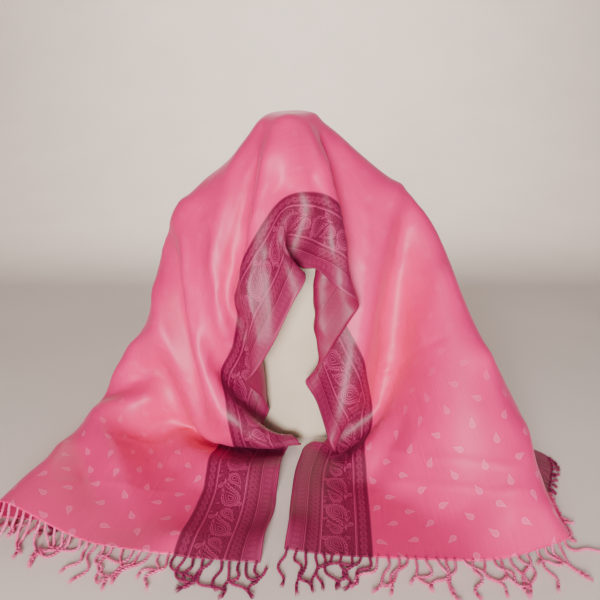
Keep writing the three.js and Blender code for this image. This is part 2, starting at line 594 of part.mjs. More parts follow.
function panel(name, rows, columns) {
  const positions = [], faces = [], width = columns.length, count = rows.length * width;
  const inward = (i, j) => {
    const node = sampled[rows[i]][columns[j]], at = node.point.clone();
    const step = (di, dj, way) => {
      const ahead = sampled[rows[i] + di][columns[j] + dj].point.clone();
      ahead.sub(sampled[rows[i] - di][columns[j] - dj].point);
      ahead.addScaledVector(node.normal, -ahead.dot(node.normal)).normalize();
      at.addScaledVector(ahead, way * SEAM_GAP / 2);
    };
    if (i === 0 && rows[0] > 0) step(1, 0, 1);
    if (i === rows.length - 1 && rows[i] < ROWS.length - 1) step(1, 0, -1);
    if (j === 0 && columns[0] > 0) step(0, 1, 1);
    if (j === width - 1 && columns[j] < COLUMNS.length - 1) step(0, 1, -1);
    return { at, normal: node.normal };
  };
  for (const side of [1, -1]) for (let i = 0; i < rows.length; i++) for (let j = 0; j < width; j++) {
    const { at, normal } = inward(i, j);
    positions.push(...at.addScaledVector(normal, side * WALL / 2).toArray());
  }
  const id = (i, j) => i * width + j, back = (n) => n + count;
  for (let i = 0; i + 1 < rows.length; i++) for (let j = 0; j + 1 < width; j++) {
    for (const corners of splitCell(rows[i], columns[j])) {
      const [a, b, c] = corners.map(([r, q]) => id(r - rows[i] + i, q - columns[j] + j));
      faces.push(a, b, c, back(a), back(c), back(b));
    }
  }
  const rim = (a, b) => faces.push(a, back(a), back(b), a, back(b), b);
  for (let i = 0; i + 1 < rows.length; i++) {
    rim(id(i, 0), id(i + 1, 0));
    rim(id(i + 1, width - 1), id(i, width - 1));
  }
  for (let j = 0; j + 1 < width; j++) {
    rim(id(0, j + 1), id(0, j));
    rim(id(rows.length - 1, j), id(rows.length - 1, j + 1));
  }
  return meshOf(name, positions, faces);
}

function meshOf(name, positions, faces) {
  const [, color, roughness] = FINISHES.find(([part]) => name.includes(part));
  const geometry = new THREE.BufferGeometry();
  geometry.setAttribute('position', new THREE.Float32BufferAttribute(positions, 3));
  geometry.setIndex(faces);
  geometry.computeVertexNormals();
  const mesh = new THREE.Mesh(geometry, new THREE.MeshStandardMaterial({ color, roughness, metalness: 0 }));
  mesh.name = name;
  return mesh;
}

const wasm = await Module();
wasm.setup();
const solidOf = (positions, faces) => new wasm.Manifold(new wasm.Mesh({
  numProp: 3, vertProperties: Float32Array.from(positions), triVerts: Uint32Array.from(faces),
}));

// A closed tube of rings that all have the same number of corners.
function tube(rings) {
  const sides = rings[0].length, positions = rings.flat().flatMap((v) => v.toArray()), faces = [];
  for (let r = 0; r + 1 < rings.length; r++) for (let k = 0; k < sides; k++) {
    const a = r * sides + k, b = r * sides + (k + 1) % sides;
    faces.push(a, b, b + sides, a, b + sides, a + sides);
  }
  const last = (rings.length - 1) * sides;
  for (let k = 1; k + 1 < sides; k++) faces.push(0, k + 1, k, last, last + k, last + k + 1);
  const from = (k) => rings[0][k].clone().sub(rings[0][0]), turn = new THREE.Vector3();
  for (let k = 1; k + 1 < sides; k++) turn.add(from(k).cross(from(k + 1)));
  const inside = turn.dot(rings[1][0].clone().sub(rings[0][0])) < 0;
  return solidOf(positions, inside ? faces.reverse() : faces);
}

// A repeatable spread of values between -1 and 1.
function scatter(seed) {
  const x = Math.sin(seed * 12.9898 + 4.1414) * 43758.5453;
  return 2 * (x - Math.floor(x)) - 1;
}

// Where the cloth ends, at a position across: the point, the way the cloth runs out, the way square to
// its edge, the gap that keeps the strip off its tilted wall, and the way along the edge.
function endFrame(end, across) {
  const row = end === 'left' ? 0 : ROWS.length - 1, inner = end === 'left' ? 1 : ROWS.length - 2;
  let j = 0;
  while (j < COLUMNS.length - 2 && COLUMNS[j + 1] * CELL <= across) j++;
  const share = (across / CELL - COLUMNS[j]) / (COLUMNS[j + 1] - COLUMNS[j]);
  const between = (r) => sampled[r][j].point.clone().lerp(sampled[r][j + 1].point, share);
  const edge = between(row), out = edge.clone().sub(between(inner)).normalize();
  const sideAt = (k) => {
    const next = sampled[row][Math.min(k + 1, COLUMNS.length - 1)].point;
    return next.clone().sub(sampled[row][Math.max(k - 1, 0)].point).normalize();
  };
  const side = sideAt(j).lerp(sideAt(j + 1), share).normalize();
  const away = out.clone().addScaledVector(side, -out.dot(side)).normalize();
  away.z = Math.max(away.z, (WALL / 2 + FLOOR_GAP - edge.z) / BACKING_WIDTH);
  away.normalize();
  const normal = sampled[row][j].normal.clone().lerp(sampled[row][j + 1].normal, share).normalize();
  const gap = SEAM_GAP + WALL * Math.abs(away.dot(normal));
  return { edge, out, away, gap, side };
}

function strand(end, across, number) {
  const stretch = FRINGE_LENGTHS.find(([which, from, to]) => which === end && across >= from && across <= to);
  if (!stretch) return null;
  const [, , , length, turn, share] = stretch;
  const { edge, out, away, gap } = endFrame(end, across);
  const flatOut = new THREE.Vector3(out.x, out.y, 0).normalize();
  flatOut.lerp(new THREE.Vector3(...turn, 0), share).normalize();
  const flatSide = new THREE.Vector3(-flatOut.y, flatOut.x, 0), reach = length * (1 + 0.1 * scatter(number));
  const start = edge.clone().addScaledVector(away, gap + BACKING_WIDTH * 0.4);
  const floor = STRAND_RADIUS / 2 + FLOOR_GAP, phase = (2.5 + scatter(number + 7)) * Math.PI / 2;
  const rings = [];
  for (let k = 0; k <= STRAND_PARTS; k++) {
    const u = k / STRAND_PARTS, wave = Math.sin(u * phase + scatter(number + 3) * 2);
    const sway = STRAND_SWAY * wave * Math.min(1, 2 * u);
    const lift = (0.5 + 0.4 * scatter(number + 5 * k)) * (k < STRAND_PARTS ? 1 : 0.4);
    const centre = start.clone();
    if (k > 0) {
      centre.addScaledVector(flatOut, reach * u).addScaledVector(flatSide, sway);
      centre.z = Math.max(floor, start.z + (floor - start.z) * Math.min(1, u * 1.05) + lift);
    }
    const radius = k > 0 ? STRAND_RADIUS : WALL * 0.36;
    rings.push([90, 210, 330].map((angle) => {
      const a = THREE.MathUtils.degToRad(angle), up = new THREE.Vector3(0, 0, radius * Math.sin(a));
      return centre.clone().addScaledVector(flatSide, radius * Math.cos(a)).add(up);
    }));
  }
  return tube(rings);
}

// The strip the strands are knotted into: it follows the end of the cloth and stands clear of it.
function backing(end, from, to) {
  const places = COLUMNS.map((column) => column * CELL);
  const between = places.filter((across) => across > from + 3 && across < to - 3);
  const stations = [from, ...between, to];
  const rings = stations.map((across) => {
    const { edge, away, gap, side } = endFrame(end, across);
    const inOrder = end === 'left' ? away.clone().negate() : away;
    const up = new THREE.Vector3().crossVectors(inOrder, side).normalize();
    const near = edge.clone().addScaledVector(away, gap);
    const far = near.clone().addScaledVector(away, BACKING_WIDTH);
    const corners = [[near, -1], [far, -1], [far, 1], [near, 1]].map(
      ([at, way]) => at.clone().addScaledVector(up, way * WALL / 2));
    for (const corner of corners) corner.z = Math.max(corner.z, FLOOR_GAP / 2);
    return end === 'left' ? corners.reverse() : corners;
  });
  return tube(rings);
}

function fringe(name, end, from, to) {
  const first = from + (from > 0 ? SEAM_GAP / 2 : 0), last = to - (to < WIDTH ? SEAM_GAP / 2 : 0);
  const parts = [backing(end, first, last)], total = Math.round((to - from) / STRAND_SPACING);
  for (let k = 0; k < total; k++) {
    const across = from + (k + 0.5) * (to - from) / total;
    const solid = strand(end, across, across + (end === 'left' ? 1000 : 0));
    if (solid) parts.push(solid);
  }
  const { vertProperties, triVerts } = wasm.Manifold.union(parts).getMesh();
  return meshOf(name, Array.from(vertProperties), Array.from(triVerts));
}

// Part

const shawl = new THREE.Group();
shawl.name = 'pashmina_shawl';
shawl.add(buildForm());
const inside = (list, first, last) =>
  list.map((_, k) => k).filter((k) => list[k] >= first && list[k] <= last);
for (const [stretch, firstRow, lastRow] of STRETCHES) for (const [strip, firstColumn, lastColumn] of STRIPS) {
  const rows = inside(ROWS, firstRow, lastRow), columns = inside(COLUMNS, firstColumn, lastColumn);
  shawl.add(panel(`${strip}_${stretch}`, rows, columns));
}
for (const end of ['left', 'right']) for (const [strip, firstColumn, lastColumn] of STRIPS) {
  shawl.add(fringe(`fringe_${end}_${strip}`, end, firstColumn * CELL, lastColumn * CELL));
}
export default shawl;
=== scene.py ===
"""A long pink pashmina shawl draped over a glossy limbless display form, both ends spread on a table.

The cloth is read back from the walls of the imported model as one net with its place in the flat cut. It is
drawn out to a 5 mm net, eased until its threads have their own length again, creased, and given its
thickness. The jacquard is woven in the cut's own measures, millimetres along and across the shawl.
"""

import logging
import math
import random
from collections import defaultdict
from dataclasses import dataclass, field
from enum import Enum

import bmesh
import bpy
import numpy as np
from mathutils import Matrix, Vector
from mathutils.bvhtree import BVHTree
from mathutils.kdtree import KDTree


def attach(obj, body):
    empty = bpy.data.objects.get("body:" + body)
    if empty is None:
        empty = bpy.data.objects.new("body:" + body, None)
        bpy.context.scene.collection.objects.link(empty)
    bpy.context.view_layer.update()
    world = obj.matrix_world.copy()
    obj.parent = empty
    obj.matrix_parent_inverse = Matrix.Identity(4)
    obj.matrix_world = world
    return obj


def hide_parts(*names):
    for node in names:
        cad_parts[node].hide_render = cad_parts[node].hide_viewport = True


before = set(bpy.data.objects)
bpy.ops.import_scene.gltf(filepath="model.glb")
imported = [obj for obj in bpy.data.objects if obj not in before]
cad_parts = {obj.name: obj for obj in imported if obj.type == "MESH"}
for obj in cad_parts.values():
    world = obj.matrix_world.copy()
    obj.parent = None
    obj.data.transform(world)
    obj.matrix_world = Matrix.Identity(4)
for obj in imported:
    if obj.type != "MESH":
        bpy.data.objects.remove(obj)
log = logging.getLogger("shawl")

MM = 0.001
LENGTH = 1.8  # the cut, without its fringes
WIDTH = 0.65
BORDER = 0.125  # each woven side border
THREAD_STEP = 0.005  # from one node of the fine net to the next


class End(Enum):
    """An end of the shawl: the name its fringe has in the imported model."""

    LEFT = "left"
    RIGHT = "right"


class Strip(Enum):
    """A strip of the shawl along its length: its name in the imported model."""

    FRONT = "front_border"
    FIELD = "field"
    REAR = "rear_border"


class Side(Enum):
    """A side of the woven cloth."""

    FACE = "face"
    REVERSE = "reverse"


def linear(code: str) -> tuple[float, float, float, float]:
    """Turns an sRGB hex colour into Blender's linear colour.

    Args:
        code: The colour as "#rrggbb".

    Returns:
        Red, green, blue and alpha, linear.
    """
    channels = [int(code[k:k + 2], 16) / 255 for k in (1, 3, 5)]
    return (*[c / 12.92 if c <= 0.04045 else ((c + 0.055) / 1.055) ** 2.4 for c in channels], 1.0)


def add(tree: bpy.types.NodeTree, kind: str, *inputs: object, **settings: object) -> bpy.types.Node:
    """Adds a node with its settings and links.

    Args:
        tree: The node tree.
        kind: The node's type, without "ShaderNode" in front where it has that. After a colon, its
            operation.
        inputs: One value, node or socket for each input in order, None to leave it. A node stands for
            its first output that is on.
        settings: The node's own properties, the value of any input by its name, and a colour ramp's
            tones from its first stop on.

    Returns:
        The new node.
    """
    kind, _, operation = kind.partition(":")
    node = tree.nodes.new(kind if kind.startswith("Node") else "ShaderNode" + kind)
    if operation:
        node.operation = operation
    named = {}
    for name, value in settings.items():
        if name == "tones":
            for stop, tone in zip(node.color_ramp.elements, value):
                stop.color = linear(tone)
        elif hasattr(node, name):
            setattr(node, name, value)
        else:
            named[name.replace("_", " ")] = value
    by_name = {socket.name.lower(): socket for socket in node.inputs if socket.enabled}
    pairs = list(zip([socket for socket in node.inputs if socket.enabled], inputs))
    pairs += [(by_name[name.lower()], value) for name, value in named.items()]
    for socket, value in pairs:
        if isinstance(value, bpy.types.Node):
            value = next(out for out in value.outputs if out.enabled)
        if isinstance(value, bpy.types.NodeSocket):
            tree.links.new(value, socket)
        elif value is not None:
            socket.default_value = value
    return node


def new_material(name: str) -> tuple[bpy.types.Material, bpy.types.NodeTree]:
    """Makes an empty node material.

    Args:
        name: The material's name.

    Returns:
        The material and its tree.
    """
    material = bpy.data.materials.new(name)
    material.use_nodes = True
    material.node_tree.nodes.clear()
    return material, material.node_tree


def deselect_all() -> None:
    """Deselects every object, so that an operator acts on the new one alone."""
    if bpy.context.object and bpy.context.object.mode != "OBJECT":
        bpy.ops.object.mode_set(mode="OBJECT")
    bpy.ops.object.select_all(action="DESELECT")


def make_active(piece: bpy.types.Object) -> None:
    """Selects one object alone and makes it the active one.

    Args:
        piece: The object.
    """
    deselect_all()
    piece.select_set(True)
    bpy.context.view_layer.objects.active = piece


def newly_placed() -> bpy.types.Object:
    """Puts the place and turn of the primitive just added into its mesh.

    Returns:
        The primitive.
    """
    bpy.ops.object.transform_apply(location=True, rotation=True, scale=True)
    return bpy.context.object


def join(parts: list[bpy.types.Object], name: str) -> bpy.types.Object:
    """Joins pieces into the first of them.

    Args:
        parts: The pieces.
        name: The name of the object and its mesh.

    Returns:
        The one object.
    """
    make_active(parts[0])
    for part in parts:
        part.select_set(True)
    bpy.ops.object.join()
    parts[0].name = parts[0].data.name = name
    return parts[0]


def apply_modifier(piece: bpy.types.Object, kind: str, **settings: object) -> None:
    """Adds a modifier with its settings and applies it at once.

    Args:
        piece: The object.
        kind: The modifier's type.
        settings: The modifier's own properties.
    """
    make_active(piece)
    modifier = piece.modifiers.new(kind.lower(), kind)
    for name, value in settings.items():
        setattr(modifier, name, value)
    bpy.ops.object.modifier_apply(modifier=modifier.name)


def spline(knots: np.ndarray, values: np.ndarray, at: np.ndarray) -> np.ndarray:
    """Natural cubic spline through values at uneven knots.

    Args:
        knots: Rising places, n of them.
        values: What is known there, n rows.
        at: The places wanted.

    Returns:
        One row for each place.
    """
    gap, count = np.diff(knots), len(knots)
    system, bend = np.eye(count), np.zeros_like(values)
    slope = np.diff(values, axis=0) / gap[:, None]
    for k in range(1, count - 1):
        system[k, k - 1:k + 2] = gap[k - 1], 2 * (gap[k - 1] + gap[k]), gap[k]
        bend[k] = 6 * (slope[k] - slope[k - 1])
    bend = np.linalg.solve(system, bend)
    k = np.clip(np.searchsorted(knots, at, side="right") - 1, 0, count - 2)
    t, h = (at - knots[k])[:, None], gap[k][:, None]
    first = slope[k] - h * (2 * bend[k] + bend[k + 1]) / 6
    return values[k] + t * (first + t * (bend[k] / 2 + t * (bend[k + 1] - bend[k]) / (6 * h)))


def smooth_step(value: np.ndarray | float) -> np.ndarray:
    """Eases a share from 0 to 1, level at both ends."""
    value = np.clip(value, 0, 1)
    return value * value * (3 - 2 * value)


@dataclass
class Motif:
    """A woven figure that repeats along the border, in millimetres of the flat cut."""

    period: float
    centre: float  # across, from the selvedge
    size: float  # half its length
    turn: float  # degrees
    rings: int  # nested outlines
    line: float  # half width of each
    shift: float = 0.0
    tone: float = 1.0


@dataclass
class PaisleyFigure:
    """The curled drop of a paisley jacquard, drawn by nested lines, as a node group.

    Its place comes in millimetres about the middle of the figure, tip towards +Y.
    """

    curl: float = -0.42  # how far the tip leans over, in sizes
    bulb: float = 0.55
    tip: float = 0.75
    root: float = 0.3  # from the middle down to the centre of the bulb
    sharpness: float = -2.4  # how fast the bulb draws in to the tip
    scallops: float = 18.0
    scallop_depth: float = 0.03
    petals: float = 26.0
    petal_tone: float = 0.55

    def build(self) -> bpy.types.NodeTree:
        """Draws the figure.

        Returns:
            The group, with inputs Place, Size, Rings and Line, and outputs Line and Body.
        """
        group = bpy.data.node_groups.new("paisley_figure", "ShaderNodeTree")
        for name, kind in (("Place", "Vector"), ("Size", "Float"), ("Rings", "Float"), ("Line", "Float")):
            group.interface.new_socket(name, in_out="INPUT", socket_type="NodeSocket" + kind)
        for name in ("Line", "Body"):
            group.interface.new_socket(name, in_out="OUTPUT", socket_type="NodeSocketFloat")
        given = add(group, "NodeGroupInput").outputs
        size, rings = given["Size"], given["Rings"]
        place = add(group, "VectorMath:DIVIDE", given["Place"], size)
        parts = add(group, "SeparateXYZ", place).outputs
        up = add(group, "Math:ADD", parts["Y"], self.root)
        tail = add(group, "Math:MAXIMUM", up, 0.0)
        lean = add(group, "Math:MULTIPLY", tail, tail)
        off = add(group, "Math:MULTIPLY_ADD", lean, self.curl, parts["X"])
        angle = add(group, "Math:ARCTAN2", off, up)
        turned = add(group, "Math:ABSOLUTE", angle)
        point = add(group, "Math:EXPONENT", add(group, "Math:MULTIPLY", turned, self.sharpness))
        drop = add(group, "Math:MULTIPLY_ADD", point, self.tip, self.bulb)
        wave = add(group, "Math:COSINE", add(group, "Math:MULTIPLY", angle, self.scallops))
        edge = add(group, "Math:MULTIPLY_ADD", wave, self.scallop_depth, drop)
        apart = add(group, "VectorMath:LENGTH", add(group, "CombineXYZ", off, up))
        share = add(group, "Math:DIVIDE", apart.outputs["Value"], edge)
        phase = add(group, "Math:MULTIPLY_ADD", share, rings, 0.5)
        inside_ring = add(group, "Math:SUBTRACT", add(group, "Math:FRACT", phase), 0.5)
        ring = add(group, "Math:ABSOLUTE", inside_ring)
        step = add(group, "Math:DIVIDE", add(group, "Math:MULTIPLY", edge, size), rings)
        distance = add(group, "Math:MULTIPLY", ring, step)
        line = add(group, "MapRange", distance, 0.0, given["Line"], 1.0, 0.0,
                   interpolation_type="SMOOTHSTEP")
        within = add(group, "Math:LESS_THAN", share, 1.06)
        drawn = add(group, "Math:MULTIPLY", line, within)
        petal = add(group, "Math:COSINE", add(group, "Math:MULTIPLY", angle, self.petals))
        petal = add(group, "Math:GREATER_THAN", petal, 0.35)
        outer = add(group, "Math:GREATER_THAN", phase, add(group, "Math:ADD", rings, -0.25))
        petal = add(group, "Math:MULTIPLY", petal, add(group, "Math:MULTIPLY", outer, within))
        drawn = add(group, "Math:MAXIMUM", drawn, add(group, "Math:MULTIPLY", petal, self.petal_tone))
        ends = add(group, "NodeGroupOutput").inputs
        group.links.new(drawn.outputs[0], ends["Line"])
        group.links.new(add(group, "Math:LESS_THAN", share, 1.0).outputs[0], ends["Body"])
        return group


@dataclass(frozen=True)
class SilkJacquard:
    """Silk and wool jacquard, woven in two tones of yarn.

    The warp is silk and floats over the ground as a satin, which gives a soft wide gloss along the
    threads. The figures are weft floats of the paler yarn, a little more matt and a hair proud. The dye
    is uneven in long streaks along the warp, about a millimetre wide, and in clouds of 90 mm.
    """

    ground: str
    figure: str
    reverse: tuple[str, str]  # ground and figure as the back shows them, nearer to each other
    sheen: str
    roughness: float = 0.48
    # Millimetres from weft to weft, and a quarter more from warp to warp. The real threads are 0.25 mm
    # apart, too fine to show, so they are drawn coarser
    rib: float = 1.5
    streaks: tuple[float, float, float] = (0.012, 0.9, 1.0)  # per millimetre, along and across

    def finish(self, name: str, side: Side, figures: "WovenFigures") -> bpy.types.Material:
        """Makes the material for one side of the cloth.

        Args:
            name: The material's name, to which the side is added.
            side: Which side; on the reverse the figures are the darker tone.
            figures: What is woven into it.

        Returns:
            The material.
        """
        material, tree = new_material(f"{name}_{side.value}")
        cut = add(tree, "UVMap", uv_map="cut")
        place = add(tree, "VectorMath:MULTIPLY", cut, (1000.0, 1000.0, 1000.0))
        mask = figures.draw(tree, place)
        streaks = add(tree, "VectorMath:MULTIPLY", place, self.streaks)
        streaks = add(tree, "TexNoise", streaks, Scale=1.0, Detail=3.0, Roughness=0.65)
        cloudy = add(tree, "TexNoise", place, Scale=0.011, Detail=2.0)
        dye = add(tree, "MapRange", streaks, 0.3, 0.7, 0.93, 1.07)
        dye = add(tree, "Math:MULTIPLY", dye, add(tree, "MapRange", cloudy, 0.3, 0.7, 0.95, 1.05))
        tones = (self.ground, self.figure) if side is Side.FACE else self.reverse
        colour = add(tree, "HueSaturation", Value=dye, Color=add(tree, "ValToRGB", mask, tones=tones))
        ribs = add(tree, "VectorMath:MULTIPLY", place, (1 / self.rib,) * 3)
        warp = add(tree, "TexWave", ribs, Scale=1.6 / math.tau, Distortion=0.4, bands_direction="Y")
        weft = add(tree, "TexWave", ribs, Scale=2.0 / math.tau, Distortion=0.4, bands_direction="X")
        cloth = add(tree, "Math:MULTIPLY", warp.outputs["Fac"], weft.outputs["Fac"])
        cloth = add(tree, "Math:MULTIPLY_ADD", mask, 0.8, cloth)
        bump = add(tree, "Bump", Height=cloth, Strength=0.25, Distance=0.12 * MM)
        rough = add(tree, "MapRange", mask, 0.0, 1.0, self.roughness, self.roughness + 0.12)
        tangent = add(tree, "Tangent", direction_type="UV_MAP", uv_map="cut")
        shader = add(tree, "BsdfPrincipled", colour, Roughness=rough, IOR=1.54, Normal=bump,
                     Anisotropic=0.3, Tangent=tangent, Sheen_Weight=0.2, Sheen_Roughness=0.35,
                     Sheen_Tint=linear(self.sheen))
        add(tree, "OutputMaterial", shader)
        return material


@dataclass(frozen=True)
class WovenFigures:
    """What the jacquard shows: border bands of figures and lines, or small tossed paisleys."""

    group: bpy.types.NodeTree
    border: bool
    motifs: tuple[Motif, ...] = (
        Motif(66, 78, 26, 38, rings=4, line=0.85),
        Motif(66, 69, 15.5, 205, rings=3, line=0.75, shift=31),
        Motif(66, 94, 6.5, 110, rings=2, line=0.65, shift=22),
        Motif(66, 57, 6, -60, rings=2, line=0.65, shift=-15),
        Motif(9.43, 38, 9.0, 186, rings=2, line=0.6, tone=0.6),
        Motif(13.2, 113.5, 8.5, 62, rings=2, line=0.65, tone=0.65),
        Motif(9.9, 15, 5.0, -35, rings=1, line=0.7, tone=0.6),
    )
    # Place across and half width of the lines woven between the bands, and how strong each is
    lines: tuple[tuple[float, float, float], ...] = (
        (2.2, 0.8, 0.5), (5.0, 0.4, 0.4), (24.5, 0.4, 0.4), (27.2, 0.6, 0.6),
        (48.9, 0.4, 0.5), (50.8, 0.7, 0.8), (101.4, 0.7, 0.8), (103.3, 0.4, 0.5), (124.2, 0.6, 0.5),
    )
    toss: tuple[float, float] = (64.0, 54.0)  # cell of the tossed paisleys, along and across
    tossed: tuple[float, float, float] = (7.6, 1.0, 1.05)  # their size, rings and line

    def draw(self, tree: bpy.types.NodeTree, place: bpy.types.Node) -> bpy.types.Node:
        """Draws the border's figures or the field's, as the two methods below say."""
        return self.draw_border(tree, place) if self.border else self.draw_toss(tree, place)

    def draw_border(self, tree: bpy.types.NodeTree, place: bpy.types.Node) -> bpy.types.Node:
        """Draws the bands of the border, the same inwards from either selvedge.

        Args:
            tree: The material's tree.
            place: The place in the flat cut, in millimetres.

        Returns:
            The node that gives the share of figure yarn.
        """
        parts = add(tree, "SeparateXYZ", place).outputs
        other = add(tree, "Math:SUBTRACT", WIDTH / MM, parts["Y"])
        across = add(tree, "Math:MINIMUM", parts["Y"], other)
        flat = add(tree, "CombineXYZ", parts["X"], across)
        swirls = add(tree, "TexNoise", flat, Scale=0.055, Detail=1.0)
        swirls = add(tree, "Math:FRACT", add(tree, "Math:MULTIPLY", swirls, 11.0))
        vine = add(tree, "Math:COMPARE", swirls, 0.5, 0.085)
        band = add(tree, "Math:COMPARE", across, 76.0, 24.0)
        total = add(tree, "Math:MULTIPLY", add(tree, "Math:MULTIPLY", vine, band), 0.4)
        for motif in self.motifs:
            local = add(tree, "VectorMath:SUBTRACT", flat, (motif.shift, motif.centre, 0))
            reach = motif.period / 2  # it wraps along the border alone
            local = add(tree, "VectorMath:WRAP", local, (reach, 1e3, 1), (-reach, -1e3, -1))
            local = add(tree, "VectorRotate", local, rotation_type="Z_AXIS", Angle=math.radians(motif.turn))
            figure = add(tree, "Group", local, motif.size, motif.rings, motif.line, node_tree=self.group)
            ground = add(tree, "Math:SUBTRACT", 1.0, figure.outputs["Body"])
            total = add(tree, "Math:MULTIPLY", total, ground)
            toned = add(tree, "Math:MULTIPLY", figure.outputs["Line"], motif.tone)
            total = add(tree, "Math:MAXIMUM", total, toned)
        for centre, half, tone in self.lines:
            stripe = add(tree, "Math:COMPARE", across, centre, half)
            stripe = add(tree, "Math:MULTIPLY", stripe, tone)
            total = add(tree, "Math:MAXIMUM", total, stripe)
        edge = add(tree, "Math:LESS_THAN", across, 24.0)
        edge = add(tree, "Math:MULTIPLY", edge, 0.16)
        return add(tree, "Math:MAXIMUM", total, edge)

    def draw_toss(self, tree: bpy.types.NodeTree, place: bpy.types.Node) -> bpy.types.Node:
        """Draws small paisleys, half a drop apart and each turned its own way.

        Args:
            tree: The material's tree.
            place: The place in the flat cut, in millimetres.

        Returns:
            The node that gives the share of figure yarn.
        """
        along, across = self.toss
        total = None
        for shift in (0.0, 0.5):
            moved = add(tree, "VectorMath:ADD", place, (along * shift, across * shift + 4.0, 0))
            cell = add(tree, "VectorMath:SNAP", moved, (along, across, 1))
            chance = add(tree, "TexWhiteNoise", cell, noise_dimensions="3D")
            local = add(tree, "VectorMath:SUBTRACT", moved, cell)
            local = add(tree, "VectorMath:SUBTRACT", local, (along / 2, across / 2, 0))
            jitter = add(tree, "VectorMath:MULTIPLY", chance.outputs["Color"], (9.0, 7.0, 0.0))
            local = add(tree, "VectorMath:SUBTRACT", local, jitter)
            turn = add(tree, "Math:MULTIPLY", chance.outputs["Value"], math.tau)
            local = add(tree, "VectorRotate", local, rotation_type="Z_AXIS", Angle=turn)
            figure = add(tree, "Group", local, *self.tossed, node_tree=self.group)
            body = add(tree, "Math:MULTIPLY", figure.outputs["Body"], 0.2)
            drawn = add(tree, "Math:MAXIMUM", figure.outputs["Line"], body)
            total = drawn if total is None else add(tree, "Math:MAXIMUM", total, drawn)
        parts = add(tree, "SeparateXYZ", place).outputs
        middle = add(tree, "Math:SUBTRACT", parts["X"], LENGTH / MM / 2)
        ends = add(tree, "Math:ABSOLUTE", middle)
        # Painted sheen: the figures are drawn faint over the middle of the shawl, where the satin's shine
        # washes them out, and full towards the two ends
        sheen_faded = add(tree, "MapRange", ends, 560.0, 740.0, 0.14, 0.85, interpolation_type="SMOOTHSTEP")
        return add(tree, "Math:MULTIPLY", total, sheen_faded)


@dataclass(frozen=True)
class TwistedYarn:
    """Loosely plied silk yarn: hundreds of fine filaments, which give a soft sheen along the twist."""

    pale: str
    deep: str

    def finish(self, name: str) -> bpy.types.Material:
        """Makes the material, uneven in dye from tassel to tassel.

        Args:
            name: The material's name.

        Returns:
            The material.
        """
        material, tree = new_material(name)
        where = add(tree, "TexCoord").outputs["Object"]
        patchy = add(tree, "TexNoise", where, Scale=70.0, Detail=1.0)  # patches of 14 mm, a tassel each
        fibres = add(tree, "TexNoise", where, Scale=2200.0, Detail=2.0)  # filaments about 0.4 mm
        share = add(tree, "Math:ADD", patchy, add(tree, "Math:MULTIPLY", fibres, 0.35))
        ramp = add(tree, "ValToRGB", add(tree, "MapRange", share, 0.45, 0.9),
                   tones=(self.deep, self.pale))
        bump = add(tree, "Bump", Height=fibres, Strength=0.5, Distance=0.3 * MM)
        shader = add(tree, "BsdfPrincipled", ramp, Roughness=0.55, Normal=bump, Sheen_Weight=0.5,
                     Sheen_Roughness=0.4, Sheen_Tint=linear(self.pale))
        add(tree, "OutputMaterial", shader)
        return material


@dataclass(frozen=True)
class SprayedShell:
    """Moulded glass fibre, sanded and sprayed with cream gloss: wet-looking, with a slight orange peel."""

    colour: str = "#E9DDC6"
    aged: str = "#DED0B6"  # where the gloss has yellowed

    def finish(self, name: str) -> bpy.types.Material:
        """Makes the material.

        Args:
            name: The material's name.

        Returns:
            The material.
        """
        material, tree = new_material(name)
        where = add(tree, "TexCoord").outputs["Object"]
        peel = add(tree, "TexNoise", where, Scale=260.0, Detail=1.0)  # ripples about 4 mm wide
        dull = add(tree, "TexNoise", where, Scale=14.0, Detail=3.0)
        ramp = add(tree, "ValToRGB", dull, tones=(self.aged, self.colour))
        bump = add(tree, "Bump", Height=peel, Strength=0.12, Distance=0.4 * MM)
        rough = add(tree, "MapRange", dull, 0.3, 0.7, 0.14, 0.24)
        shader = add(tree, "BsdfPrincipled", ramp, Roughness=rough, IOR=1.52, Normal=bump,
                     Coat_Weight=0.6, Coat_Roughness=0.06)
        add(tree, "OutputMaterial", shader)
        return material


@dataclass(frozen=True)
class MattPaper:
    """Pale matt background paper, as under the shawl."""

    colour: str

    def finish(self, name: str) -> bpy.types.Material:
        """Makes the material.

        Args:
            name: The material's name.

        Returns:
            The material.
        """
        material, tree = new_material(name)
        where = add(tree, "TexCoord").outputs["Object"]
        cloud = add(tree, "TexNoise", where, Scale=3.0, Detail=2.0)
        value = add(tree, "MapRange", cloud, 0.3, 0.7, 0.97, 1.03)
        colour = add(tree, "HueSaturation", Value=value, Color=linear(self.colour))
        add(tree, "OutputMaterial", add(tree, "BsdfPrincipled", colour, Roughness=0.85))
        return material


